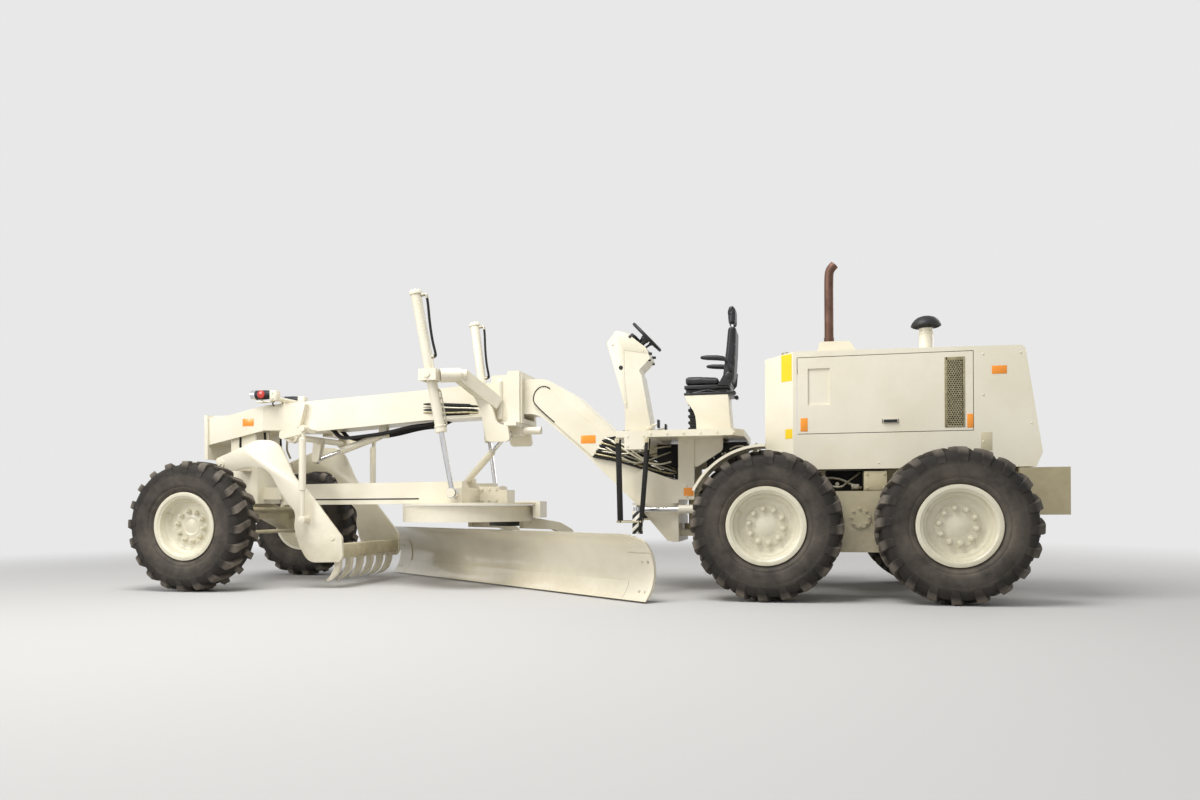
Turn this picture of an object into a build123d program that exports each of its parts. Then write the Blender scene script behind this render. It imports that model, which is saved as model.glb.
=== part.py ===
from build123d import *
import os
from math import cos, hypot, pi, radians, sin, tan

# Motor grader: an articulated road grader with an open operator's station and a mid scarifier.
# Millimetres. +X is forward, +Y is the machine's left, +Z is up and the ground is Z = 0.
# Stations (x) are measured from the middle of the tandem axles while modelling, and every part
# is moved by the same amount as it is written, so that the origin is the middle of the footprint.

# ---------------------------------------------------------------- driving sizes
# wheels
tyre_r = 640.0              # to the lug tips
tyre_w = 350.0              # section width
tread_w = 300.0
side_r = 480.0              # where the sidewall is widest
lug_h = 38.0
lug_w = 70.0
lug_lean = 24.0             # degrees that a lug leans from square across the tread
lugs_a_side = 20
flats = 20                  # flats round a tyre carcass and its rim
rim_r = 335.0
rim_w = 300.0
spindle_r = 50.0
wheelbase = 6340.0          # tandem centre to front axle
tandem_spacing = 1522.0
rear_track = 1930.0
front_track = 1970.0
axle_height = tyre_r
front_axle_x = wheelbase
tandem_half = tandem_spacing / 2

# articulation
pivot_x = 1500.0
pivot_pin_r = 45.0
pin_gap = 0.5               # radial play on pins
hinge_z = 780.0             # height of the articulation cylinders

# steering
kingpin_y = 760.0
kingpin_r = 30.0
steer_arm = 250.0
steer_pin_r = 14.0

# main beam
beam_half_w = 165.0

# drawbar, circle and blade. The blade's own frame has x towards its right end, y ahead of its face
# and the circle's centre as its origin
ball_x, ball_z = front_axle_x - 320, 970.0
circle_x = 3830.0
circle_r = 680.0
circle_z0, circle_z1 = 665.0, 825.0
blade_turn = 53.3           # degrees the blade is turned from square across the machine
blade_half = 2285.0         # with its end bits
blade_offset = -205.0       # side shift at rest, along the blade
edge_y, edge_z = -168.0, 15.0
mold_h = 570.0
mold_r = 340.0              # of the face, centred this far ahead of the edge and above it
mold_ahead, mold_above = 238.0, 243.0
mold_t = 20.0
end_bit_w = 150.0
pitch_pin = (-400.0, 150.0)  # y and z in the blade's frame
pitch_pin_r = 24.0
tip_base, tip_eye = (0.0, -815.0, 490.0), (0.0, -520.0, 465.0)
shift_y, shift_z = -410.0, 330.0   # side-shift cylinder

# lift cylinders
lift_top = (4070.0, 755.0, 2880.0)
lift_eye = (3765.0, 610.0, 950.0)
yoke_z = 2080.0
lift_mouth_z = 1540.0
lift_hidden, lift_travel = 300.0, 430.0   # rod in the barrel, and room behind it
lift_play, trunnion_play = 8.0, 4.0
barrel_r = 50.0
rod_r = 25.0

# centre-shift cylinder
shift_base, shift_eye = (3930.0, -140.0, 1075.0), (3330.0, 268.0, 1525.0)
shift_axis = (0.525, 0.848, -0.069)    # of its pins, square to the cylinder

# scarifier
scar_x, scar_z = front_axle_x - 30, 1270.0
scar_y = 610.0
scar_pin_r = 30.0
shaft_x, shaft_z = front_axle_x - 780, 1540.0
shaft_r = 32.0
link_top = (front_axle_x - 1040, 1600.0)
link_foot = (front_axle_x - 1020, 700.0)
link_y = 712.0
link_play = 9.0
scar_base, scar_eye = (front_axle_x - 1540, 0.0, 1585.0), (front_axle_x - 742, 0.0, 1325.0)

# articulation cylinders (left)
steer_base, steer_eye = (1030.0, 420.0, hinge_z), (1985.0, 370.0, hinge_z)

# operator's station
deck_z = 1500.0
deck_t = 60.0
deck_front_x, deck_rear_x = 2125.0, 970.0
deck_half_w = 700.0

# hood
hood_half_w = 520.0
hood_z0, hood_z1 = 1130.0, 2190.0
hood_wall = 30.0
hood_front_x = 790.0
hood_corner_x, hood_corner_y = 535.0, 300.0
door_x0, door_x1 = -985.0, 500.0
door_z0, door_z1 = 1445.0, 2135.0
door_gap = 6.0

rear_face_x = -1735.0
mid_x = (front_axle_x + tyre_r + rear_face_x) / 2

parts = {}


# ---------------------------------------------------------------- making shapes
def outline(points):
    """A closed plane outline from (u, v) or (u, v, corner radius)."""
    radii = [p[2] if len(p) > 2 else 0 for p in points]
    return make_face(FilletPolyline(*[(p[0], p[1]) for p in points], radius=radii, close=True))


def side_plate(points, y0, y1):
    """An outline in X and Z, from y0 to y1."""
    return extrude(Plane.XZ.offset(-y0) * outline(points), amount=-(y1 - y0))


def flat_plate(points, z0, z1):
    """An outline in X and Y, from z0 to z1."""
    return extrude(Plane.XY.offset(z0) * outline(points), amount=z1 - z0)


def cross_plate(points, x0, x1):
    """An outline in Y and Z, from x0 to x1."""
    return extrude(Plane.YZ.offset(x0) * outline(points), amount=x1 - x0)


def block(x, y, z):
    """A box from three (low, high) pairs."""
    size = [b - a for a, b in (x, y, z)]
    return Pos(x[0], y[0], z[0]) * Box(*size, align=(Align.MIN, Align.MIN, Align.MIN))


def bar(a, b, r, bore=0.0):
    """A round bar, or a tube with a bore, between two points."""
    a, b = Vector(*a), Vector(*b)
    ring = Circle(r) - Circle(bore) if bore else Circle(r)
    return extrude(Plane(origin=a, z_dir=b - a) * ring, amount=(b - a).length)


def toward(a, b, distance):
    """The point that lies a distance from a towards b."""
    t = distance / hypot(*[q - p for p, q in zip(a, b)])
    return tuple(p + (q - p) * t for p, q in zip(a, b))


def beside(point, axis, distance):
    """A point moved along an axis."""
    return tuple(p + distance * a for p, a in zip(point, axis))


def both_sides(shape):
    """The shape and its mirror image on the other side of the machine."""
    return shape + mirror(shape, about=Plane.XZ)


def on_side(point, side):
    return (point[0], side * point[1], point[2])


def save(name, shape):
    parts[name] = shape
    export_step(Pos(-mid_x, 0, 0) * shape, f"parts/{name}.step")


# ---------------------------------------------------------------- wheels
def turned(profile, sides=flats):
    """A flat-sided ring round the Y axis with a flat below, from a closed (radius, y) outline."""
    angles = [2 * pi * (i + 0.5) / sides for i in range(sides)]
    rings = [[(r * sin(a), y, -r * cos(a)) for a in angles] for r, y in profile]
    faces = []
    for ring, after in zip(rings, rings[1:] + rings[:1]):
        for i in range(sides):
            j = (i + 1) % sides
            faces.append(Face(Wire.make_polygon([ring[i], ring[j], after[j], after[i]])))
    return Solid(Shell(faces))


def tyre():
    """A tyre on the Y axis: a carcass of flats, and a row of slanting lugs on each shoulder."""
    side, shoulder, crown = tyre_w / 2, tread_w / 2, tyre_r - lug_h
    bead = side - 55
    half = ((rim_r, bead), (side_r, side), (crown, shoulder))
    carcass = turned(half + tuple((r, -y) for r, y in reversed(half)))
    near, far = 5.0, shoulder - 3
    slant = (far - near) * tan(radians(lug_lean)) / 2
    foot = make_face(Polyline((-lug_w / 2 - slant, near), (lug_w / 2 - slant, near),
                              (lug_w / 2 + slant, far), (-lug_w / 2 + slant, far), close=True))
    lug = Pos(0, 0, -tyre_r) * extrude(foot, amount=lug_h + 14)
    pitch = 360 / lugs_a_side
    lugs = [Rot(0, pitch * i, 0) * lug for i in range(lugs_a_side)]
    other = [Rot(0, pitch * (i + 0.5), 0) * mirror(lug, about=Plane.XZ) for i in range(lugs_a_side)]
    return carcass + lugs + other


def rim(disc_y, hub_in):
    """A rim on the Y axis with its disc set back from the outer (+Y) edge, and a bored hub."""
    half = rim_w / 2
    body = turned((
        (rim_r, -half), (rim_r, half), (300, half), (245, disc_y), (60, disc_y),
        (60, disc_y - 22), (245, disc_y - 22), (300, -half),
    ))
    hub = Plane.XZ.offset(-(disc_y + 60)) * RegularPolygon(82, 12)
    body += extrude(hub, amount=disc_y + 60 + hub_in)
    return body - bar((0, -hub_in - 1, 0), (0, -hub_in + 60, 0), spindle_r + pin_gap)


def wheels():
    one_tyre = tyre()
    table = (
        # name, x, y, disc outward, hub inward
        ("front", front_axle_x, front_track / 2, 30.0, 120.0),
        ("tandem_front", tandem_half, rear_track / 2, 40.0, 190.0),
        ("tandem_rear", -tandem_half, rear_track / 2, 40.0, 190.0),
    )
    for name, x, y, disc_y, hub_in in table:
        at = Pos(x, y, axle_height)
        left = {"tyre": at * one_tyre, "rim": at * rim(disc_y, hub_in)}
        for kind, shape in left.items():
            save(f"{kind}_{name}_left", shape)
            save(f"{kind}_{name}_right", mirror(shape, about=Plane.XZ))


# ---------------------------------------------------------------- rear frame and tandems
case_y0, case_y1 = 560.0, 765.0
rail_y = 330.0


def rear_chassis():
    """Two rails from the counterweight to the hitch box, which narrows to the two pivot lugs."""
    wall = 45.0
    rail = (
        (-1340, 930), (-1340, 1128), (780, 1128, 60), (880, 985, 60),
        (1010, 985), (1010, 525), (780, 860, 80), (300, 900, 60),
    )
    body = both_sides(side_plate(rail, rail_y - wall, rail_y))
    body += flat_plate(((1000, -rail_y), (1360, -150), (1360, 150), (1000, rail_y)), 525, 985)
    body -= flat_plate(((960, -rail_y + 40), (1325, -120), (1325, 120), (960, rail_y - 40)), 565, 990)
    body += block((-1340, -1290), (-rail_y, rail_y), (930, 1128))
    body += block((-120, 120), (-rail_y, rail_y), (900, 1000))
    body += block((690, 750), (-rail_y, rail_y), (930, 1128))
    for z0, z1 in ((585, 640), (880, 935)):
        body += flat_plate(((1350, -145), (pivot_x + 30, -105, 60), (pivot_x + 100, 0, 60),
                            (pivot_x + 30, 105, 60), (1350, 145)), z0, z1)
    body += Pos(pivot_x, 0, 760) * Cylinder(pivot_pin_r, 460)
    x, y, z = steer_base
    for z0 in (z - 60, z + 40):
        body += both_sides(block((x - 45, x + 45), (rail_y - 5, y + 50), (z0, z0 + 20)))
    body += both_sides(bar((x, y, z - 60), (x, y, z + 60), 16))
    save("rear_chassis", body)


def tandem_axle():
    """The chain cases, each one long box with round ends and a round cover, on the rear axle."""
    half_h, z = 262.0, 668.0
    reach = tandem_half + 130
    case = side_plate(((-reach, z - half_h, 150), (-reach, z + half_h, 150),
                       (reach, z + half_h, 150), (reach, z - half_h, 150)), case_y0, case_y1)
    case += bar((-20, case_y1 - 5, 705), (-20, case_y1 + 12, 705), 92)
    axle = bar((0, -case_y0 - 5, z), (0, case_y0 + 5, z), 140)
    axle += block((-230, 230), (-225, 225), (470, 898))
    hub_face = rear_track / 2 - 190
    for x in (-tandem_half, tandem_half):
        case += bar((x, case_y1 - 5, axle_height), (x, hub_face + 50, axle_height), spindle_r)
    save("tandem_axle", both_sides(case) + axle)


def counterweight():
    box = side_plate(((rear_face_x, 720), (rear_face_x, 1122), (-1342, 1122), (-1342, 720)), -550, 550)
    box -= both_sides(block((rear_face_x - 1, rear_face_x + 60), (180, 470), (800, 1050)))
    box -= block((rear_face_x - 1, rear_face_x + 110), (-70, 70), (800, 960))
    box -= Pos(rear_face_x + 60, 0, 880) * Cylinder(26, 500)
    save("counterweight", box)


def mudguards():
    """Curved guards over the front quarter of each forward tandem wheel."""
    inner, t = tyre_r + 25, 22.0
    band = Circle(inner + t) - Circle(inner)
    wedge = make_face(Polyline((0, 0), (0, 900), (900, 450), close=True))
    guard = extrude(Plane.XZ.offset(-790) * (band & wedge), amount=-340)
    guard = Pos(tandem_half, 0, axle_height) * guard
    stay = block((840, 880), (335, 800), (1285, 1305)) + block((840, 880), (335, 355), (1030, 1305))
    save("mudguards", both_sides(guard + stay))


# ---------------------------------------------------------------- engine bay
def hood_solid(inset=0.0):
    """The hood's outer form, or the same form drawn in by an inset."""
    g, w = inset, hood_half_w - inset
    side = (
        (hood_front_x - g, hood_z0), (hood_front_x - g, hood_z1 - 30 - g), (510, hood_z1 - g, 60),
        (-1395 + g, hood_z1 - 25 - g, 50), (-1530 + g, 1250, 40), (-1480 + g, hood_z0),
    )
    plan = (
        (hood_front_x - g, -hood_corner_y), (hood_front_x - g, hood_corner_y), (hood_corner_x, w),
        (-1700, w), (-1700, -w), (hood_corner_x, -w),
    )
    return side_plate(side, -w, w) & flat_plate(plan, hood_z0 - 10, hood_z1 + 100)


def hood():
    shell = hood_solid() - hood_solid(hood_wall)
    shell -= both_sides(block((door_x0, door_x1), (400, 800), (door_z0, door_z1)))
    shell -= block((-1600, -1300), (-400, 400), (1300, 2040))
    hump = side_plate(((340, hood_z1 - 40), (290, 2325, 20), (20, 2320, 20), (-80, hood_z1 - 40)), -210, 210)
    shell += hump - hood_solid(hood_wall)
    shell += bar((600, 150, hood_z1 - 40), (600, 150, hood_z1 + 30), 32)
    save("hood", shell)
    skin = hood_solid(2) - hood_solid(16)
    bars = [block((-1600, -1300), (-400, 400), (z - 8, z + 8)) for z in range(1330, 2030, 50)]
    grille = (Part() + bars) & skin
    posts = [block((-1600, -1300), (y - 12, y + 12), (1301, 2039)) for y in (-388, -130, 130, 388)]
    grille += (Part() + posts) & (hood_solid(10) - hood_solid(34))
    save("radiator_grille", grille)


def hood_doors():
    g = door_gap
    outer = hood_half_w
    panel = block((door_x0 + g, door_x1 - g), (outer - hood_wall, outer), (door_z0 + g, door_z1 - g))
    slot_h, slot_pitch = 26.0, 42.0
    for i in range(14):
        z = 1495 + i * slot_pitch
        panel -= block((-895, -765), (outer - 50, outer + 10), (z, z + slot_h))
    panel -= block((215, 405), (outer - 12, outer + 10), (1705, 2030))
    panel += block((-360, -235), (outer - 2, outer + 14), (1530, 1562))
    save("hood_door_left", panel)
    save("hood_door_right", mirror(panel, about=Plane.XZ))


def engine_bay():
    engine = block((-620, 420), (-270, 270), (1010, 1720)) + block((-560, 340), (-190, 190), (1700, 1960))
    save("engine", engine)
    save("radiator", block((-1260, -1120), (-400, 400), (1135, 2060)))
    pipe = bar((200, 0, 2326), (200, 0, 3002), 42) + bar((200, 0, 2326), (200, 0, 2352), 62)
    pipe += bar((200, 0, 2998), (150, 0, 3100), 42)
    pipe -= bar((185, 0, 3030), (149, 0, 3103), 36)
    save("exhaust_stack", pipe)
    post = Pos(0, 0, 2178) * extrude(RegularPolygon(62, 24), amount=272)
    post += Pos(0, 0, 2178) * extrude(RegularPolygon(40, 24), amount=382)
    cap = turned(((30, 2430), (62, 2430), (150, 2462), (150, 2500), (105, 2552), (30, 2560)), 24)
    save("air_precleaner", Pos(-672, 0, 0) * (post + Rot(90, 0, 0) * cap))


# ---------------------------------------------------------------- front frame
def front_frame():
    """The nose box, the long beam and the goose neck, one welded section of constant width."""
    x = front_axle_x
    side = (
        # x, z, corner radius
        (x + 410, 1500), (x + 410, 1822), (x + 220, 1822, 40), (x - 240, 1920, 200), (x - 700, 1945, 200),
        (4250, 2020, 300), (3220, 2090, 200), (2950, 2085, 220), (2640, 1905, 300),
        (2230, 1520), (2200, 1250, 60), (1950, 1180, 100), (1640, 1060), (1640, 470),
        (1700, 470, 60), (2000, 790, 200), (2600, 1375, 200), (3040, 1745, 260),
        (4250, 1708, 300), (x - 780, 1621, 300), (x - 240, 1634, 200),
    )
    body = side_plate(side, -beam_half_w, beam_half_w)
    body += block((x + 405, x + 445), (-260, 260), (1342, 1822))
    cheek = side_plate(((x + 412, 1500), (x + 412, 1800), (x + 230, 1800), (x - 260, 1890), (x - 260, 1640)),
                       beam_half_w - 5, 240)
    body += both_sides(cheek)
    # bolster that stands on the axle and takes the drawbar's ball
    body += block((x - 160, x + 160), (-200, 200), (860, 1640))
    body += both_sides(block((ball_x - 55, x - 150), (68, 100), (ball_z - 65, ball_z + 65)))
    # scarifier trunnions
    body += both_sides(block((scar_x - 60, scar_x + 60), (180, scar_y - 55), (scar_z - 60, scar_z + 60)))
    body += both_sides(bar((scar_x, 400, scar_z), (scar_x, scar_y + 22, scar_z), scar_pin_r))
    # hangers of the scarifier's cross shaft, and the lug of its cylinder
    hanger = block((shaft_x - 60, shaft_x + 60), (beam_half_w - 5, 520), (1595, 1640))
    hanger += bar((shaft_x, 460, shaft_z), (shaft_x, 520, shaft_z), 64)
    hanger -= bar((shaft_x, 0, shaft_z), (shaft_x, 700, shaft_z), shaft_r + pin_gap)
    x, y, z = scar_base
    hanger += block((x - 40, x + 40), (24, 44), (z - 35, 1760))
    hanger += bar((x, 0, z), (x, 44, z), 15)
    body += both_sides(hanger)
    # rear box and the two pivot lugs
    body += block((1600, 1665), (-345, 345), (470, 1060))
    body -= both_sides(block((1590, 1675), (285, 400), (hinge_z - 58, hinge_z + 58)))
    gusset = side_plate(((1640, 475), (1640, 1055), (1950, 1170), (2080, 1080), (1990, 800), (1710, 475)),
                        beam_half_w - 5, 290)
    body += both_sides(gusset)
    for z0, z1 in ((520, 579), (941, 1000)):
        body += flat_plate(((1605, -160), (pivot_x - 20, -110, 60), (pivot_x - 105, 0, 60),
                            (pivot_x - 20, 110, 60), (1605, 160)), z0, z1)
    body -= Pos(pivot_x, 0, 760) * Cylinder(pivot_pin_r + pin_gap, 600)
    x, y, z = steer_eye
    for z0 in (z - 60, z + 40):
        body += both_sides(block((x - 45, x + 45), (285, y + 50), (z0, z0 + 20)))
    body += both_sides(bar((x, y, z - 60), (x, y, z + 60), 16))
    cover = side_plate(((2930, 2005, 60), (3040, 1990, 60), (3090, 1870, 60), (2870, 1650, 120),
                        (2470, 1300), (2330, 1490)), beam_half_w - 4, beam_half_w + 14)
    save("front_frame", body + both_sides(cover))


def square_bar(a, b, width):
    """A square bar between two points, with two of its faces upright."""
    a, b = Vector(*a), Vector(*b)
    along = b - a
    end = Plane(origin=a, x_dir=along.cross(Vector(0, 0, 1)), z_dir=along)
    return extrude(end * Rectangle(width, width), amount=along.length)


def saddle():
    """The collar round the beam, its two lift arms with yokes, and the foot for the centre shift."""
    x0, x1, gap = 3180.0, 3500.0, 1.0
    body = block((x0, x1), (-235, 235), (1650, 2130))
    body += block((3200, 3325), (-255, 255), (1610, 2165))
    body -= block((x0 - 1, x1 + 1), (-beam_half_w - gap, beam_half_w + gap), (1695, 2098))
    # curved bracket down from each arm to the foot
    x, y, z = shift_eye
    foot = side_plate((
        (3660, 1965), (3570, 1780, 160), (3520, 1560, 60), (3500, z - 70, 40), (x - 70, z - 70, 40),
        (x - 50, z + 75), (3400, z + 120, 60), (3440, 1780, 120), (3540, 1965),
    ), 335, 375)
    body += both_sides(foot + block((3200, 3325), (200, 360), (1612, 1650)))
    body += bar(beside(shift_eye, shift_axis, -46), beside(shift_eye, shift_axis, 96), 16)
    body += bar(beside(shift_eye, shift_axis, -46), beside(shift_eye, shift_axis, -38), 44)
    # lock pin that stands out behind the foot
    body += bar((3010, 140, 1575), (3210, 140, 1575), 38)
    body += block((3200, 3325), (80, 200), (1530, 1640))
    x, y, z = yoke_at
    arm = square_bar((3440, 246, 1838), (3700, 538, 2090), 128)
    arm += bar((3635, 545, 2098), (3705, 570, 2096), 52) + bar((3690, 562, 2096), (x - 80, y - 46, z + 4), 68)
    ring = block((x - 90, x + 90), (y - 90, y + 90), (z - 55, z + 55))
    ring -= block((x - 66, x + 66), (y - 66, y + 66), (z - 60, z + 60))
    arm += ring
    for sign in (1, -1):
        arm += bar((x, y + sign * 56, z), (x, y + sign * 68, z), 18)
        arm += bar((x, y + sign * 85, z), (x, y + sign * 104, z), 27)
    save("saddle", body + both_sides(arm))


def front_axle():
    x = front_axle_x
    beam = cross_plate(
        ((-700, 520), (-700, 740, 60), (-200, 860, 60), (200, 860, 60), (700, 740, 60), (700, 520),
         (640, 520), (180, 690, 80), (-180, 690, 80), (-640, 520)), x - 75, x + 75)
    beam -= both_sides(block((x - 80, x + 80), (660, 710), (572, 688)))
    for side in (1, -1):
        for z0, z1 in ((520, 570), (690, 740)):
            y = side * kingpin_y
            beam += block((x - 62, x + 62), sorted((side * 690, y)), (z0, z1))
            beam += bar((x, y, z0), (x, y, z1), 62)
        beam -= bar((x, y, 400), (x, y, 850), kingpin_r + pin_gap)
    lean = bar((x - 140, -560, 800), (x - 140, 560, 800), 22)
    lean += both_sides(block((x - 160, x - 70), (530, 570), (700, 820)))
    save("front_axle", beam + lean)


def knuckles():
    x = front_axle_x
    y = kingpin_y
    body = bar((x, y, 515), (x, y, 745), kingpin_r)
    body += bar((x, y, 576), (x, y, 684), 62)
    body += bar((x, y, axle_height), (x, front_track / 2 - 120 + 50, axle_height), spindle_r)
    arm = block((x - steer_arm - 30, x - 20), (y - 26, y + 26), (592, 622))
    arm -= bar((x - steer_arm, y, 580), (x - steer_arm, y, 630), steer_pin_r + pin_gap)
    save("knuckle_left", body + arm)
    save("knuckle_right", mirror(body + arm, about=Plane.XZ))
    tie = bar((x - steer_arm, -y, 560), (x - steer_arm, y, 560), 20)
    tie += both_sides(bar((x - steer_arm, y, 536), (x - steer_arm, y, 584), 30))
    tie += both_sides(bar((x - steer_arm, y, 580), (x - steer_arm, y, 632), steer_pin_r))
    save("tie_rod", tie)


def headlamps():
    """Two lamps on a tube bracket over the nose."""
    x = front_axle_x - 250
    lamps = both_sides(bar((x - 20, 260, 2050), (x + 105, 260, 2050), 62))
    lamps += bar((x, -262, 2000), (x, 262, 2000), 18)
    lamps += both_sides(block((x - 10, x + 10), (110, 150), (1923, 2010)))
    save("headlamps", lamps)


# ---------------------------------------------------------------- operator's station
def platform():
    top, low = deck_z, deck_z - deck_t
    deck = flat_plate(((deck_front_x, -deck_half_w), (deck_front_x, deck_half_w),
                       (deck_rear_x + 90, deck_half_w), (deck_rear_x, deck_half_w - 160),
                       (deck_rear_x, -deck_half_w + 160), (deck_rear_x + 90, -deck_half_w)), low, top)
    box = block((1835, 2045), (deck_half_w - 160, deck_half_w), (1330, low + 5))
    column = block((1450, 1600), (302, 345), (870, low + 5))
    web = side_plate(((1500, low + 5), (1180, low + 5), (1180, 1330, 60), (1500, 1130, 60)), 302, 332)
    save("platform", deck + both_sides(box + column + web))


def ladders():
    """A hanging boarding step each side: two flexible straps, a rigid step and a marker plate."""
    y0, y1 = deck_half_w - 60, deck_half_w - 20
    side = side_plate(((2120, 1438), (2095, 1438), (2095, 662), (2120, 662)), y0 + 12, y1 - 12)
    side += side_plate(((1860, 1328), (1835, 1328), (1893, 662), (1918, 662)), y0 + 12, y1 - 12)
    side += block((1885, 2128), (y0 - 60, y1), (660, 690))
    side += block((1835, 1940), (y0 + 2, y0 + 14), (560, 800))
    save("ladders", both_sides(side))


def console():
    side = (
        (2330, 2420, 20), (2240, 2540, 30), (2130, 2510, 20), (1930, 2350, 60), (1900, 2250, 20),
        (2010, 2140, 20), (1985, 2090, 30), (1900, 1620, 30), (1900, deck_z), (2150, deck_z),
        (2150, 1800, 30), (2175, 1880, 30),
    )
    body = side_plate(side, -150, 150)
    body -= side_plate(((2270, 2440), (2235, 2490), (2150, 2460), (2180, 2400)), -120, 120)
    save("console", body)
    hub = Plane(origin=(1975, 0, 2500), z_dir=(-0.72, 0, 0.69))
    wheel = extrude(hub * (RegularPolygon(222, 24) - RegularPolygon(190, 24)), amount=26)
    wheel += extrude(hub * (Rectangle(400, 26) + Rectangle(26, 400)), amount=14)
    wheel += extrude(hub * Circle(45), amount=-54)
    save("steering_wheel", wheel)


def seat():
    stand = side_plate(((1550, 1870), (1510, 1790), (1450, 1700), (1440, deck_z), (1110, deck_z), (1140, 1870)),
                       -210, 210)
    stand += block((1180, 1520), (-170, 170), (1860, 1960))
    arm = block((1150, 1390), (245, 290), (2165, 2210)) + block((1160, 1200), (255, 280), (1900, 2170))
    arm += block((1160, 1200), (165, 280), (1900, 1930))
    save("seat_stand", stand + both_sides(arm))
    cushion = side_plate(((1560, 1962), (1560, 2045, 40), (1400, 2050), (1212, 2030, 30), (1212, 1962)), -235, 235)
    save("seat_cushion", cushion)
    back = side_plate(((1200, 1970), (1180, 2080, 60), (1140, 2560), (1150, 2750, 30), (1060, 2750, 30),
                       (1045, 2560), (1060, 2030, 60), (1110, 1970)), -215, 215)
    save("seat_back", back - both_sides(block((1000, 1200), (130, 260), (2590, 2800))))


# ---------------------------------------------------------------- drawbar and circle
def drawbar():
    """An A-shaped bar from the front ball to the circle, with a cross box that takes the lift rods."""
    rear_y, rear_x = 500.0, 3710.0
    frame = bar((ball_x, -60, ball_z), (ball_x, 60, ball_z), 55)
    leg = flat_plate(((ball_x - 20, -40), (ball_x - 20, 58), (ball_x - 90, 58), (rear_x, rear_y), (rear_x, rear_y - 110)),
                     845, 1065)
    frame += both_sides(leg)
    frame += block((3700, 3860), (-540, 540), (850, 1000))
    eye_x, eye_y, eye_z = lift_eye
    stud = bar((eye_x, 530, eye_z), (eye_x, eye_y + 40, eye_z), 26)
    stud += bar((eye_x, eye_y + 38, eye_z), (eye_x, eye_y + 48, eye_z), 44)
    frame += both_sides(stud)
    plate = Pos(circle_x - 40, 0, circle_z1 + 6) * Cylinder(
        circle_r + 35, 22, align=(Align.CENTER, Align.CENTER, Align.MIN))
    plate -= Pos(circle_x, 0, 840) * RegularPrism(330, 60)
    frame += plate
    # circle drive box, and the shoe that steadies the ring at its rear
    frame += block((3490, 3705), (-180, 60), (848, 1020)) + block((3405, 3500), (-180, 60), (848, 985))
    shoe_x = circle_x - circle_r - 115
    frame += block((shoe_x, shoe_x + 75), (-115, 115), (circle_z0 + 35, circle_z1 + 40))
    frame += block((shoe_x, shoe_x + 260), (-115, 115), (circle_z1 + 6, circle_z1 + 40))
    x, y, z = shift_base
    frame += block((3850, x - 10), (y - 85, y - 42), (850, z + 35))
    frame += bar(beside(shift_base, shift_axis, -62), beside(shift_base, shift_axis, 24), 16)
    save("drawbar", frame)


def RegularPrism(r, height):
    """A 24-sided prism about the Z axis, centred on the origin."""
    return Pos(0, 0, -height / 2) * extrude(RegularPolygon(r, 24), amount=height)


def blade_frame(shape):
    return Pos(circle_x, 0, 0) * Rot(0, 0, blade_turn - 90) * shape


def blade_plate(points, x0, x1):
    """An outline in the blade frame's y and z, from x0 to x1."""
    return extrude(Plane.YZ.offset(x0) * outline(points), amount=x1 - x0)


def both_ends(shape):
    return shape + mirror(shape, about=Plane.YZ)


def circle():
    """The turning ring, its two hooked blade arms and the tie between them."""
    ring = Cylinder(circle_r, circle_z1 - circle_z0) - Cylinder(circle_r - 90, 200)
    body = Pos(0, 0, (circle_z0 + circle_z1) / 2) * ring
    y, z = pitch_pin
    arm = blade_plate((
        (-300, 690), (-480, 690), (-760, 645, 60), (-930, 565, 80), (-990, 440, 100), (-960, 330, 80),
        (-850, 215, 80), (-650, 120, 60), (y + 50, z - 50, 40), (y + 50, z + 45, 30), (-640, 230, 60),
        (-800, 320, 60), (-850, 420, 60), (-800, 520, 60), (-700, 570), (-300, 590),
    ), 460, 540)
    body += both_ends(arm)
    body -= bar((-700, y, z), (700, y, z), pitch_pin_r + pin_gap)
    body += block((-470, 470), (-960, -860), (440, 530))
    x, y, z = tip_base
    body += both_ends(block((24, 40), (y - 60, y + 30), (z - 40, z + 35))) + bar((-40, y, z), (40, y, z), 14)
    body += block((-150, 150), (-610, -180), (circle_z0, circle_z0 + 20))
    body += block((-180, 180), (-500, -350), (610, circle_z0 + 5))
    save("circle", blade_frame(body))


def blade_carrier():
    """The frame that the moldboard slides in. It tips on pins in the ends of the blade arms."""
    hook = (
        (-335, 125), (-286, 125), (-286, 95), (-440, 95), (-470, 160), (-470, 260), (-430, 505),
        (-250, 505), (-250, 476), (-335, 476),
    )
    body = both_ends(blade_plate(hook, 360, 440))
    y, z = pitch_pin
    body += bar((-550, y, z), (550, y, z), pitch_pin_r)
    body += block((-370, 370), (-450, -400), (440, 490))
    body += bar((-340, shift_y, shift_z), (500, shift_y, shift_z), 45)
    body -= bar((-310, shift_y, shift_z), (501, shift_y, shift_z), rod_r + pin_gap)
    x, y, z = tip_eye
    body += both_ends(block((22, 38), (y - 35, -440), (z - 30, z + 25))) + bar((-38, y, z), (38, y, z), 14)
    save("blade_carrier", blade_frame(body))


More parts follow.
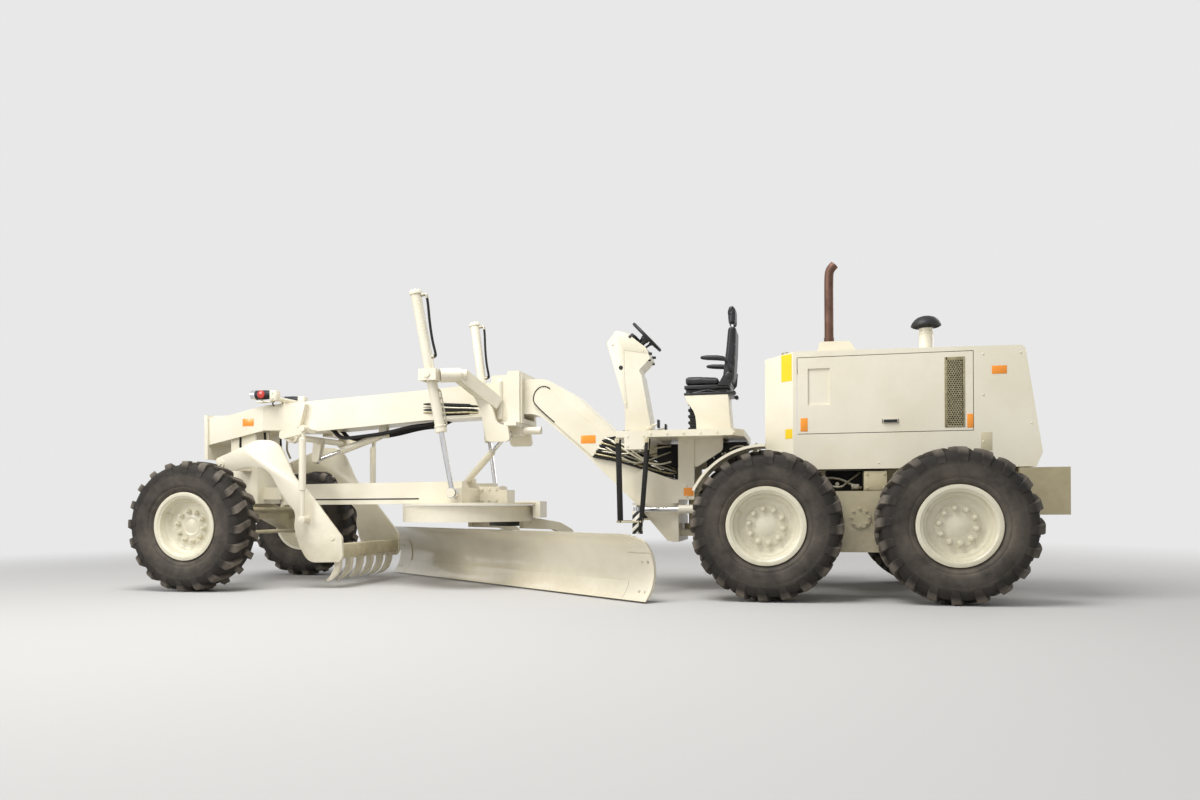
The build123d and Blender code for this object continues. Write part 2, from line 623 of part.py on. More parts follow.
def moldboard():
    """A rolled plate with two slide rails, its cutting edges and the rod that shifts it."""
    y0, z0 = edge_y + mold_ahead, edge_z + mold_above
    left, right = blade_offset - blade_half, blade_offset + blade_half
    centre = Pos(0, y0, z0) * Rot(0, 90, 0)

    def rolled(r_in, r_out, low, high, x0, x1):
        tube = centre * (Cylinder(r_out, 6000) - Cylinder(r_in, 6002))
        return tube & block((x0, x1), (-600, y0), (edge_z + low, edge_z + high))

    board = rolled(mold_r, mold_r + mold_t, 80, mold_h, left + end_bit_w, right - end_bit_w)
    rails = block((left + 400, right - 400), (-330, -225), (430, 471))
    rails += block((left + 400, right - 400), (-330, -262), (130, 171))
    rails += block((1250, 1280), (shift_y - 30, -262), (shift_z - 45, shift_z + 45))
    rails -= centre * Cylinder(mold_r + mold_t - 5, 6000)
    rod = bar((-300, shift_y, shift_z), (1255, shift_y, shift_z), rod_r)
    save("moldboard", blade_frame(board + rails + rod))
    edge = rolled(mold_r - 16, mold_r, 0, 160, left + 2 * end_bit_w, right - 2 * end_bit_w)
    edge += rolled(mold_r - 16, mold_r, 0, 400, left, left + 2 * end_bit_w)
    edge += rolled(mold_r - 16, mold_r, 0, 400, right - 2 * end_bit_w, right)
    save("cutting_edges", blade_frame(edge))


# ---------------------------------------------------------------- cylinders
def place_on_machine(shape):
    return shape


def cylinder_pair(name, base, eye, mouth, r, rod_radius, hidden, room, pin_r, play, pin_axis,
                  place=place_on_machine):
    """A barrel from its base pin towards the eye, and a rod that runs in it and ends at the eye.

    hidden is how much of the rod is in the barrel, room what is left behind it, and play how
    loosely its eye sits on its pin.
    """
    half, wall = 20.0, 12.0

    def with_ring(shape, at, gap):
        ends = [beside(at, pin_axis, -half), beside(at, pin_axis, half)]
        shape += bar(*ends, pin_r + gap + wall)
        ends = [beside(at, pin_axis, -half - 5), beside(at, pin_axis, half + 5)]
        return shape - bar(*ends, pin_r + gap)

    tail = pin_r + pin_gap + wall
    barrel = bar(toward(base, eye, tail + 24), toward(base, eye, mouth), r)
    barrel += bar(base, toward(base, eye, tail + 28), 18)
    barrel -= bar(toward(base, eye, mouth - hidden - room), toward(base, eye, mouth + 1), rod_radius + pin_gap)
    rod = bar(toward(base, eye, mouth - hidden), eye, rod_radius)
    save(f"{name}_barrel", place(with_ring(barrel, base, pin_gap)))
    save(f"{name}_rod", place(with_ring(rod, eye, play)))


def lift_cylinders():
    """Long barrels held near the middle by a trunnion block, with rods down to the drawbar."""
    low = toward_z(lift_top, lift_eye, lift_mouth_z)
    x, y, z = yoke_at
    for side, word in ((1, "left"), (-1, "right")):
        top, mouth, eye = (on_side(p, side) for p in (lift_top, low, lift_eye))
        barrel = bar(mouth, top, barrel_r) + bar(toward(top, mouth, 24), top, barrel_r + 8)
        barrel += bar(mouth, toward(mouth, top, 60), barrel_r + 6)
        trunnion = block((x - 58, x + 58), (y - 58, y + 58), (z - 45, z + 45))
        trunnion -= bar((x, y - 70, z), (x, y + 70, z), 18 + trunnion_play)
        if side < 0:
            trunnion = mirror(trunnion, about=Plane.XZ)
        bore = bar(toward(mouth, top, -1), toward(mouth, top, lift_hidden + lift_travel), rod_r + pin_gap)
        save(f"lift_barrel_{word}", barrel + trunnion - bore)
        rod = bar(toward(mouth, top, lift_hidden), toward(eye, mouth, 42), rod_r)
        rod += bar((eye[0], eye[1] - 26, eye[2]), (eye[0], eye[1] + 26, eye[2]), 54, 26 + lift_play)
        save(f"lift_rod_{word}", rod)


def toward_z(a, b, z):
    """The point at height z on the line through a and b."""
    t = (z - a[2]) / (b[2] - a[2])
    return tuple(p + (q - p) * t for p, q in zip(a, b))


yoke_at = toward_z(lift_top, lift_eye, yoke_z)


# ---------------------------------------------------------------- scarifier
def scarifier():
    x, z = scar_x, scar_z
    arm = side_plate((
        (x + 55, z - 55, 50), (x + 55, z + 55, 50), (x - 230, 1430), (x - 350, 1490), (x - 450, 1505),
        (x - 590, 1495), (x - 690, 1430), (x - 770, 1280), (x - 840, 1120), (x - 990, 985), (x - 1370, 520),
        (x - 1380, 330), (x - 1345, 270), (x - 1000, 262), (x - 890, 440), (x - 842, 620), (x - 860, 770),
        (x - 760, 870), (x - 660, 1020), (x - 580, 1160), (x - 490, 1225), (x - 310, 1235), (x - 160, 1200),
    ), scar_y - 18, scar_y + 18)
    arm -= bar((x, 400, z), (x, 700, z), scar_pin_r + pin_gap)
    foot_x, foot_z = link_foot
    arm += bar((foot_x, scar_y, foot_z), (foot_x, link_y + 26, foot_z), 20)
    beam = block((x - 1365, x - 1220), (-scar_y, scar_y), (318, 448))
    tooth = side_plate(((x - 1228, 325), (x - 1310, 325), (x - 1308, 262), (x - 1250, 150), (x - 1110, 50),
                        (x - 1205, 190), (x - 1222, 262)), -16, 16)
    count = 11
    pitch = 2 * (scar_y - 75) / (count - 1)
    teeth = [Pos(0, -scar_y + 75 + i * pitch, 0) * tooth for i in range(count)]
    save("scarifier", both_sides(arm) + beam + teeth)
    shaft = bar((shaft_x, -664, shaft_z), (shaft_x, 664, shaft_z), shaft_r)
    tx, tz = link_top
    lever = side_plate(((shaft_x + 50, shaft_z - 40, 30), (shaft_x + 40, shaft_z + 50, 30),
                        (tx - 34, tz + 34, 30), (tx - 34, tz - 30, 30)), 640, 664)
    lever += bar((tx, 650, tz), (tx, link_y + 28, tz), 14)
    lever += bar((tx, link_y + 26, tz), (tx, link_y + 34, tz), 30)
    shaft += both_sides(lever)
    ex, ey, ez = scar_eye
    low = side_plate(((shaft_x - 50, shaft_z + 20, 30), (shaft_x + 50, shaft_z + 20, 30),
                      (ex + 38, ez - 20, 30), (ex - 38, ez - 20, 30)), 24, 40)
    shaft += both_sides(low) + bar((ex, -40, ez), (ex, 40, ez), 15)
    save("scarifier_shaft", shaft)
    top, foot = (tx, link_y, tz), (foot_x, link_y, foot_z)
    link = bar(toward(top, foot, 24), toward(foot, top, 26), 22)
    link += bar((tx, link_y - 22, tz), (tx, link_y + 22, tz), 35, 14 + link_play)
    link += bar((foot_x, link_y - 22, foot_z), (foot_x, link_y + 22, foot_z), 36, 20 + pin_gap)
    save("scarifier_links", both_sides(link))


# ---------------------------------------------------------------- writing the parts
def main():
    os.makedirs("parts", exist_ok=True)
    for make in (
        wheels, rear_chassis, tandem_axle, counterweight, mudguards, hood, hood_doors, engine_bay,
        front_frame, saddle, front_axle, knuckles, headlamps, platform, ladders, console, seat,
        drawbar, circle, blade_carrier, moldboard, lift_cylinders, scarifier,
    ):
        make()
    across, up = (0, 1, 0), (0, 0, 1)
    # name, base, eye, mouth, barrel, rod, hidden, room, pin, play, pin axis
    cylinder_pair("scarifier", scar_base, scar_eye, 520, 38, 20, 200, 155, 15, 9, across)
    cylinder_pair("centre_shift", shift_base, shift_eye, 560, 36, 20, 250, 105, 16, 24, shift_axis)
    cylinder_pair("blade_tip", tip_base, tip_eye, 190, 30, 15, 50, 68, 14, 4, (1, 0, 0), blade_frame)
    for side, word in ((1, "left"), (-1, "right")):
        base, eye = on_side(steer_base, side), on_side(steer_eye, side)
        cylinder_pair(f"articulation_{word}", base, eye, 560, 42, 24, 220, 150, 16, 16, up)
    for name, shape in parts.items():
        print(f"{name:28s} {len(shape.solids()):3d} solids {shape.volume / 1e6:10.2f} l")


if __name__ == "__main__":
    main()
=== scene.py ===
# %% [markdown]
# # Motor grader with an open operator's station
# A road grader is a long arched beam on small front wheels, a heavy engine on four rear wheels,
# and between them a long curved blade. The joints and the main forms come ready made from CAD.
# Here each surface gets its finish, and the pieces that need finer shape, such as the tyres, the
# rims, the seat and the hoses, are built again with more detail.

# %% Load the machine
import bpy
import bmesh
from itertools import pairwise
from math import cos, hypot, pi, radians, sin, sqrt, tan
from mathutils import Matrix, Vector


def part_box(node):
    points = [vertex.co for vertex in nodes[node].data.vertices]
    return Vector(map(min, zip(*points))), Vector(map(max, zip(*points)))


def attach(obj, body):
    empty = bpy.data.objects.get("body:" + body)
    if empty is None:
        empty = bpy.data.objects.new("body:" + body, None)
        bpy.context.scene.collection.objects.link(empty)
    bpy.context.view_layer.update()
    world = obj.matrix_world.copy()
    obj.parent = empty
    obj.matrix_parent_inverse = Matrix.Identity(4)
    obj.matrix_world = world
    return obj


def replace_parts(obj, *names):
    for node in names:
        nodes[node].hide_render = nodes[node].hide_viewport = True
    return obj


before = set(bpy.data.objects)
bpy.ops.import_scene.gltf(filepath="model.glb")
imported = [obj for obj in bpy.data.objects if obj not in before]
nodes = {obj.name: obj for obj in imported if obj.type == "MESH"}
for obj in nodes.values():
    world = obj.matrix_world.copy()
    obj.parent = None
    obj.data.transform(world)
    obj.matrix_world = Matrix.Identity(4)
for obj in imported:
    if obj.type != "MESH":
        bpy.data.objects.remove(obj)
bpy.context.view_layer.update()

# %% [markdown]
# ## Where things are
# The rear wheels give the two stations that the rest is measured from: the middle of the tandem
# and the ground. Every piece below gives its points in metres from that middle.

# %% Stations taken from the machine


def middle(node_name):
    low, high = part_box(node_name)
    return Vector([(a + b) / 2 for a, b in zip(low, high)])


tandem_x = (middle("tyre_tandem_front_left").x + middle("tyre_tandem_rear_left").x) / 2
print("tandem centre at x =", round(tandem_x, 4))


def at(x, y, z):
    """A point given from the tandem centre, in metres."""
    return Vector((x + tandem_x, y, z))

# %% [markdown]
# ## Camera
# The machine is seen from its left side, a little behind its middle, from below chest height. A
# camera that stays level keeps the posts upright, and a small shift sets the machine in the frame.

# %% Camera
sensor, frame_w, frame_h = 36.0, 1200, 800
focal, axis_u, axis_v = 843.175, 615.39, 504.57
camera_data = bpy.data.cameras.new("camera")
camera_data.sensor_width = sensor
camera_data.lens = focal * sensor / frame_w
camera_data.shift_x = (frame_w / 2 - axis_u) / frame_w
camera_data.shift_y = (axis_v - frame_h / 2) / frame_w
camera_data.clip_end = 200
camera = bpy.data.objects.new("camera", camera_data)
bpy.context.scene.collection.objects.link(camera)
turn, tilt = 0.214, -0.006
ahead = Vector((sin(turn), -cos(turn), 0))
right = Vector((-cos(turn), -sin(turn), 0))
up = right.cross(ahead)
side = cos(tilt) * right + sin(tilt) * up
top = -sin(tilt) * right + cos(tilt) * up
stand = at(0.491, 8.251, 0.827)
camera.matrix_world = Matrix.Translation(stand) @ Matrix((side, top, -ahead)).transposed().to_4x4()
bpy.context.scene.camera = camera
print("camera", [round(v, 3) for v in camera.location])

# %% [markdown]
# ## Colour and node helpers
# Paint makers give colours as sRGB hex numbers, but a shader wants linear light, so one function
# turns the first into the second. A second one adds a shader node with its settings and links.

# %% Helpers for materials


def linear(hex_colour):
    """sRGB hex, such as "#E8E2D2", to a linear RGBA colour."""
    out = []
    for i in (1, 3, 5):
        c = int(hex_colour[i:i + 2], 16) / 255
        out.append(c / 12.92 if c <= 0.04045 else ((c + 0.055) / 1.055) ** 2.4)
    return (*out, 1.0)


def add(tree, kind, settings=None, links=None):
    """Adds a node. settings are its properties or inputs by name, links its inputs from sockets."""
    made = tree.nodes.new(kind)
    for key, value in (settings or {}).items():
        if isinstance(key, str) and hasattr(made, key) and key not in made.inputs:
            setattr(made, key, value)
        else:
            made.inputs[key].default_value = value
    for key, socket in (links or {}).items():
        tree.links.new(socket, made.inputs[key])
    return made


def start_material(name):
    """An empty material, its node tree and the object's own coordinates."""
    material = bpy.data.materials.new(name)
    material.use_nodes = True
    tree = material.node_tree
    tree.nodes.clear()
    place = add(tree, "ShaderNodeTexCoord").outputs["Object"]
    return material, tree, place


def ramp(tree, factor, stops):
    """A colour ramp from (position, colour) stops."""
    made = add(tree, "ShaderNodeValToRGB", links={"Fac": factor})
    elements = made.color_ramp.elements
    while len(elements) < len(stops):
        elements.new(0.5)
    for element, (position, colour) in zip(elements, stops):
        element.position = position
        element.color = colour
    return made.outputs["Color"]


def finish_material(tree, shader):
    add(tree, "ShaderNodeOutputMaterial", links={"Surface": shader.outputs[0]})

# %% [markdown]
# ## Sprayed enamel
# The machine is sprayed with a two-pack enamel over welded plate. It is a warm off-white, a little
# darker where road dust has settled low down. The gloss is soft: a thin clear skin with a faint
# orange peel, whose waves are about 3 mm long. The dust is drawn from the height above the ground.

# %% Enamel paint


def enamel(name, clean_hex, shade_hex, dust_hex, roughness, dust_top, dust_amount, peel_mm=3.0, coat=0.25, skin=0.18):
    material, tree, place = start_material(name)
    cloud = add(tree, "ShaderNodeTexNoise", {"Scale": 1.6, "Detail": 6.0, "Roughness": 0.6}, {"Vector": place})
    body = ramp(tree, cloud.outputs["Fac"], [(0.35, linear(shade_hex)), (0.62, linear(clean_hex))])
    height = add(tree, "ShaderNodeSeparateXYZ", links={"Vector": place}).outputs["Z"]
    low = add(tree, "ShaderNodeMapRange", {"From Min": dust_top, "From Max": 0.05, "To Min": 0.0,
                                           "To Max": dust_amount}, {"Value": height})
    grit = add(tree, "ShaderNodeTexNoise", {"Scale": 14.0, "Detail": 8.0, "Roughness": 0.7}, {"Vector": place})
    patch = add(tree, "ShaderNodeMapRange", {"From Min": 0.35, "From Max": 0.75}, {"Value": grit.outputs["Fac"]})
    share = add(tree, "ShaderNodeMath", {"operation": "MULTIPLY"}, {0: low.outputs[0], 1: patch.outputs[0]})
    mixed = add(tree, "ShaderNodeMix", {"data_type": "RGBA", 7: linear(dust_hex)}, {0: share.outputs[0], 6: body})
    rough = add(tree, "ShaderNodeMapRange", {"To Min": roughness, "To Max": min(1.0, roughness + 0.35)},
                {"Value": share.outputs[0]})
    peel = add(tree, "ShaderNodeTexNoise", {"Scale": 1000 / peel_mm / 4, "Detail": 1.0}, {"Vector": place})
    bump = add(tree, "ShaderNodeBump", {"Strength": 0.012, "Distance": 0.002}, {"Height": peel.outputs["Fac"]})
    shader = add(tree, "ShaderNodeBsdfPrincipled", {"Coat Weight": coat, "Coat Roughness": skin, "IOR": 1.5},
                 {"Base Color": mixed.outputs[2], "Roughness": rough.outputs[0], "Normal": bump.outputs["Normal"]})
    finish_material(tree, shader)
    return material


body_paint = enamel("off_white_enamel", "#E6DFCB", "#DDD5BD", "#A89A7C", 0.34, 0.9, 0.45)
barrel_paint = enamel("off_white_barrel_enamel", "#E6DFCB", "#DDD5BD", "#A89A7C", 0.3, 0.9, 0.06, peel_mm=14.0)
# The frame, axles and other low parts take a darker paint. Part of that darkness is road dust and part is painted
# shade, because these parts sit in the machine's shadow.
low_dusty_shaded_paint = enamel("dusty_off_white_enamel_with_painted_shade", "#CBC1A2", "#BCB190", "#8F8266", 0.42, 1.3, 0.8)
blade_paint = enamel("glossy_blade_enamel", "#E4DCC6", "#D9D0B8", "#B3A68A", 0.2, 0.35, 0.3, coat=1.0, skin=0.04)
# The counterweight's tan is partly dust and partly painted shade: the whole weight is coloured as it looks in shadow.
weight_dusty_shaded_paint = enamel("dusty_counterweight_enamel_with_painted_shade", "#B9AE8C", "#A89C7A", "#857857", 0.45, 1.6, 0.8)
rim_paint = enamel("cream_rim_enamel", "#DCD6BF", "#D2CBB2", "#9A8F74", 0.38, 1.0, 0.5)
black_paint = enamel("satin_black_enamel", "#1B1B1C", "#141415", "#4A443A", 0.4, 0.8, 0.5)
yellow_film = enamel("yellow_safety_film", "#EFCB14", "#E6C010", "#B89A30", 0.35, 0.5, 0.2)
orange_film = enamel("orange_reflector_film", "#F59A2E", "#EE8F25", "#A87844", 0.25, 0.5, 0.2)
red_plastic = enamel("red_lens_plastic", "#C43A2C", "#B23326", "#7A4438", 0.2, 0.5, 0.1)
print("paints made")

# %% [markdown]
# ## Tyre rubber
# Grader tyres are natural rubber filled with carbon black. New rubber is near black, but these have
# worked: a fine tan dust sits in the grain, most on the bars' tops and beside the rim. Rubber is
# rough, so there is hardly any gloss, and a fine bump breaks up the light.

# %% Rubber


def rubber(name, dark_hex, dust_hex, dust, grain_mm, worn=False):
    """Black rubber with dust in its grain. A worn one takes the dust's share from the mesh."""
    material, tree, place = start_material(name)
    cloud = add(tree, "ShaderNodeTexNoise", {"Scale": 5.0, "Detail": 8.0, "Roughness": 0.65}, {"Vector": place})
    dusty = ramp(tree, cloud.outputs["Fac"], [(0.20, linear(dark_hex)), (0.72, linear(dust_hex))])
    share = {0: add(tree, "ShaderNodeAttribute", {"attribute_name": "wear"}).outputs["Fac"]} if worn else {}
    mixed = add(tree, "ShaderNodeMix", {"data_type": "RGBA", 0: dust, 6: linear(dark_hex)}, {7: dusty, **share})
    grain = add(tree, "ShaderNodeTexNoise", {"Scale": 1000 / grain_mm, "Detail": 3.0}, {"Vector": place})
    bump = add(tree, "ShaderNodeBump", {"Strength": 0.25, "Distance": 0.002}, {"Height": grain.outputs["Fac"]})
    shader = add(tree, "ShaderNodeBsdfPrincipled", {"Roughness": 0.78, "Specular IOR Level": 0.3},
                 {"Base Color": mixed.outputs[2], "Normal": bump.outputs["Normal"]})
    finish_material(tree, shader)
    return material


tread_rubber = rubber("dusty_tread_rubber", "#1B1917", "#857B6E", 0.85, 14.0, worn=True)
hose_rubber = rubber("hose_rubber", "#161616", "#2C2A27", 0.5, 6.0)
strap_rubber = rubber("black_step_strap_rubber", "#181818", "#2E2B28", 0.6, 6.0)
print("rubbers made")

# %% [markdown]
# ## Bare steels
# Cylinder rods are ground and hard chromed: almost a mirror. The blade's bolts are worn steel, and
# pipes and their fittings are zinc plated, with a fine grey grain. The exhaust is mild steel,
# browned and faintly spotted by heat.

# %% Steel finishes


def steel(name, light_hex, dark_hex, roughness, spread, scale_xyz, detail=6.0, spot=(0.35, 0.7)):
    material, tree, place = start_material(name)
    stretched = add(tree, "ShaderNodeMapping", {"Scale": scale_xyz, "Rotation": (0, 0, radians(36.7))},
                    {"Vector": place})
    grain = add(tree, "ShaderNodeTexNoise", {"Scale": 1.0, "Detail": detail, "Roughness": 0.65},
                {"Vector": stretched.outputs["Vector"]})
    colour = ramp(tree, grain.outputs["Fac"], [(spot[0], linear(dark_hex)), (spot[1], linear(light_hex))])
    rough = add(tree, "ShaderNodeMapRange", {"To Min": roughness + spread, "To Max": roughness},
                {"Value": grain.outputs["Fac"]})
    bump = add(tree, "ShaderNodeBump", {"Strength": 0.08, "Distance": 0.002}, {"Height": grain.outputs["Fac"]})
    shader = add(tree, "ShaderNodeBsdfPrincipled", {"Metallic": 1.0},
                 {"Base Color": colour, "Roughness": rough.outputs[0], "Normal": bump.outputs["Normal"]})
    finish_material(tree, shader)
    return material


edge_steel = steel("worn_edge_steel", "#D8CFBA", "#8E8570", 0.34, 0.2, (3.0, 20.0, 20.0))
chrome = steel("hard_chrome", "#E8E8EA", "#D6D6D8", 0.10, 0.08, (40.0, 40.0, 4.0))
exhaust_steel = steel("heat_browned_steel", "#84675A", "#5A443B", 0.5, 0.3, (9.0, 9.0, 5.0), spot=(0.3, 0.75))
zinc = steel("zinc_plated_fittings", "#C9C4B4", "#9C9684", 0.35, 0.2, (60.0, 60.0, 60.0))
screen_steel = steel("punched_screen_steel", "#B9B08E", "#8B8266", 0.4, 0.2, (40.0, 40.0, 40.0))
print("steels made")

# %% [markdown]
# ## Plastics, vinyl and glass
# The seat is foam under black PVC leathercloth: its grain is about 2 mm across and catches soft highlights. The
# steering wheel and the air intake's cap are moulded in black polypropylene, with a fine even texture. The lamp lenses
# are a pale glossy colour that paints the bright reflector seen through clear glass.

# %% Vinyl, plastic, glass and dark core


def moulded(name, base_hex, lift_hex, roughness, cell_mm, depth, kind="ShaderNodeTexVoronoi"):
    material, tree, place = start_material(name)
    cell = add(tree, kind, {"Scale": 1000 / cell_mm / 2}, {"Vector": place})
    cloud = add(tree, "ShaderNodeTexNoise", {"Scale": 6.0, "Detail": 5.0}, {"Vector": place})
    colour = ramp(tree, cloud.outputs["Fac"], [(0.4, linear(base_hex)), (0.7, linear(lift_hex))])
    bump = add(tree, "ShaderNodeBump", {"Strength": depth, "Distance": 0.001}, {"Height": cell.outputs[0]})
    shader = add(tree, "ShaderNodeBsdfPrincipled", {"Roughness": roughness, "IOR": 1.47},
                 {"Base Color": colour, "Normal": bump.outputs["Normal"]})
    finish_material(tree, shader)
    return material


seat_vinyl = moulded("black_seat_vinyl", "#161618", "#26262A", 0.42, 4.0, 0.35)
black_plastic = moulded("black_moulded_polypropylene", "#17181A", "#232427", 0.5, 3.0, 0.2)
# This near-black is the radiator core's own colour. It also makes the dark sheets that paint shade in openings, pockets
# and behind screens.
core_and_shade_black = moulded("radiator_core_and_painted_shade_black", "#101010", "#1C1B1A", 0.8, 8.0, 0.5)
engine_grey = moulded("engine_casting_grey", "#2C2B29", "#454239", 0.7, 20.0, 0.4, "ShaderNodeTexNoise")
# The lens colour is a pale stand-in for the bright reflector behind the glass: a painted reflection.
lamp_glass = moulded("pale_lamp_lens_painted_reflector", "#E8ECEC", "#F6F8F8", 0.08, 12.0, 0.1)
grip_tape = moulded("grit_step_surface", "#3A3833", "#57524A", 0.85, 6.0, 0.6)
print("plastics made")

# %% [markdown]
# ## Finishes for the CAD pieces
# Plates that are right as they come from CAD only need paint and a soft edge. A bevel modifier
# rounds every sharp edge by a few millimetres, as a torch-cut and ground plate is, and catches light.

# %% Paint and soften the CAD pieces
finishes = (
    (low_dusty_shaded_paint, "rear_chassis tandem_axle front_axle knuckle_left knuckle_right tie_rod"),
    (body_paint, "mudguards hood hood_door_left hood_door_right radiator_grille front_frame saddle platform console "
                 "seat_stand drawbar circle blade_carrier scarifier scarifier_shaft scarifier_links"),
    (weight_dusty_shaded_paint, "counterweight"), (blade_paint, "moldboard cutting_edges"), (core_and_shade_black, "radiator"),
    (engine_grey, "engine"), (exhaust_steel, "exhaust_stack"), (strap_rubber, "ladders"),
    (black_plastic, "air_precleaner headlamps steering_wheel"), (seat_vinyl, "seat_cushion seat_back"),
)
finish_of = {name: paint for paint, names in finishes for name in names.split()}
for name, piece in nodes.items():
    metal = name.endswith("_rod") or name.startswith("lift_rod")
    piece.data.materials.clear()
    piece.data.materials.append(finish_of.get(name, chrome if metal else barrel_paint))


def soften(piece, width, sharp):
    """Rounds the edges that are sharper than an angle."""
    soft = piece.modifiers.new("soft_edges", "BEVEL")
    soft.width, soft.segments, soft.limit_method = width, 2, "ANGLE"
    soft.angle_limit, soft.harden_normals = radians(sharp), True


for width, names in ((0.012, "hood"), (0.008, "front_frame console counterweight tandem_axle"), (0.005, "circle"),
                     (0.006, "platform saddle drawbar hood_door_left hood_door_right rear_chassis front_axle"),
                     (0.004, "scarifier")):
    for name in names.split():
        soften(nodes[name], width, 40)
print(len(nodes), "CAD pieces painted")

# %% [markdown]
# ## Making meshes
# A few helpers cover most pieces: one closes a mesh and hangs it on a body, one turns a profile about
# an axis as a lathe does, and two more use the lathe for rods and bolt heads.

# %% Mesh helpers


def keep(name, mesh, material, body, smooth_angle=35):
    """Makes an object from a bmesh, and lets it ride on a body."""
    data = bpy.data.meshes.new(name)
    mesh.normal_update()
    mesh.to_mesh(data)
    mesh.free()
    data.materials.append(material)
    piece = bpy.data.objects.new(name, data)
    bpy.context.scene.collection.objects.link(piece)
    smooth(data, smooth_angle)
    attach(piece, body)
    return piece


def smooth(data, angle):
    """Smooth shading, with edges sharper than an angle kept sharp."""
    for face in data.polygons:
        face.use_smooth = True
    data.set_sharp_from_angle(angle=radians(angle))


def lathe(mesh, profile, matrix, steps=48, close=True):
    """Turns (radius, along) points about the Z axis of a matrix."""
    rings = []
    for r, z in profile:
        ring = [mesh.verts.new(matrix @ Vector((r * cos(2 * pi * i / steps), r * sin(2 * pi * i / steps), z)))
                for i in range(steps)]
        rings.append(ring)
    last = len(rings) if close else len(rings) - 1
    for k in range(last):
        a, b = rings[k], rings[(k + 1) % len(rings)]
        for i in range(steps):
            j = (i + 1) % steps
            mesh.faces.new((a[i], a[j], b[j], b[i]))
    return rings


def aim(start, end):
    """A matrix at start whose Z axis points at end."""
    direction = (Vector(end) - Vector(start)).normalized()
    return Matrix.Translation(Vector(start)) @ direction.to_track_quat("Z", "Y").to_matrix().to_4x4()


def rod(mesh, start, end, r, steps=20, chamfer=0.002):
    """A round rod with small chamfers."""
    length = (Vector(end) - Vector(start)).length
    c = min(chamfer, r / 3)
    lathe(mesh, [(0.0001, 0), (r - c, 0), (r, c), (r, length - c), (r - c, length), (0.0001, length)],
          aim(start, end), steps, close=False)


def hexagon(mesh, centre, axis, across, height):
    """A bolt head."""
    matrix = aim(centre, Vector(centre) + Vector(axis))
    r = across / 2 / cos(pi / 6)
    lathe(mesh, [(0.0001, 0), (r, 0), (r, height * 0.8), (r * 0.9, height), (0.0001, height)], matrix, 6, close=False)


print("round helpers ready")

# %% [markdown]
# ## Boxes, plates and mirrored pieces
# The machine is the same on both sides. So boxes, plates and paths are given once for the left side,
# and the side's sign mirrors them for the right.

# %% Helpers for boxes and both sides


def slab(mesh, low, high, bevel=0.0):
    """A box between two corners, with rounded edges."""
    low, high = Vector(low), Vector(high)
    made = bmesh.ops.create_cube(mesh, size=1.0, matrix=Matrix.Translation((low + high) / 2)
                                 @ Matrix.Diagonal((*(high - low), 1)))
    if bevel:
        edges = list(dict.fromkeys(edge for vert in made["verts"] for edge in vert.link_edges))
        bmesh.ops.bevel(mesh, geom=edges, offset=bevel, segments=2, affect="EDGES", profile=0.5)


sides = (("left", 1), ("right", -1))


def track(side, *points):
    """Points measured from the tandem centre, on the left (1) or the right (-1) of the machine."""
    return [at(x, side * y, z) for x, y, z in points]


def block(mesh, side, x, y, z, bevel=0.0):
    """A box on one side of the machine, by its ranges."""
    low, high = track(side, *zip(x, y, z))
    low.y, high.y = sorted((low.y, high.y))
    slab(mesh, low, high, bevel)


def plate_of(mesh, outline_xz, y0, y1, bevel=0.003):
    """A plate with an outline in X and Z, from y0 to y1, with softened edges."""
    near = [mesh.verts.new(at(x, y0, z)) for x, z in outline_xz]
    far = [mesh.verts.new(at(x, y1, z)) for x, z in outline_xz]
    made = [mesh.faces.new(near), mesh.faces.new(far[::-1])]
    for k in range(len(near)):
        j = (k + 1) % len(near)
        made.append(mesh.faces.new((near[k], far[k], far[j], near[j])))
    bmesh.ops.recalc_face_normals(mesh, faces=made)
    if bevel:
        rims = list(made[0].edges) + list(made[1].edges)
        bmesh.ops.bevel(mesh, geom=rims, offset=bevel, segments=2, affect="EDGES", profile=0.5)


def stiffener(mesh, side, outline_xz, y, bevel=0.003):
    """A plate on one side of the machine."""
    plate_of(mesh, outline_xz, *sorted((side * y[0], side * y[1])), bevel)


def turned(mesh, profile, start, end, steps):
    """A turned piece whose axis runs from start toward end."""
    lathe(mesh, profile, aim(start, end), steps, close=False)


print("box helpers ready for the", " and the ".join(word for word, _ in sides))

# %% [markdown]
# ## Tyres
# A 24 inch grader tyre has twenty slanting bars on each shoulder that meet at the middle like
# chevrons. The carcass is turned from a profile. Each bar is a block whose foot is wider than its
# top, set on the tread at a slant and bent to the tyre's round, so no two faces are parallel.

# %% Tyre
tyre_r, rim_r, bar_h, bars = 0.640, 0.335, 0.036, 20


def tyre_mesh():
    mesh = bmesh.new()
    upright = Matrix.Rotation(-pi / 2, 4, "X")    # the lathe's Z becomes the wheel's Y
    crown = tyre_r - bar_h
    half = [
        (rim_r + 0.002, 0.100), (rim_r + 0.004, 0.128), (rim_r + 0.018, 0.138), (0.362, 0.146), (0.380, 0.158),
        (0.388, 0.156), (0.395, 0.164), (0.420, 0.1705), (0.455, 0.1745), (0.490, 0.1742), (0.497, 0.1725),
        (0.503, 0.1742), (0.535, 0.1700), (0.560, 0.1640), (0.585, 0.1500), (crown - 0.004, 0.128), (crown, 0.080),
    ]
    profile = half + [(crown + 0.001, 0.0)] + [(r, -y) for r, y in reversed(half)]
    lathe(mesh, profile, upright, 120)
    for sign in (1, -1):
        for i in range(bars):
            turn_to = 2 * pi * (i + (0.5 if sign < 0 else 0.0)) / bars
            bar_block(mesh, turn_to, sign, crown)
    wear = mesh.verts.layers.float.new("wear")
    for vert in mesh.verts:
        vert[wear] = wear_at(hypot(vert.co.x, vert.co.z), vert.co.y, crown)
    return mesh


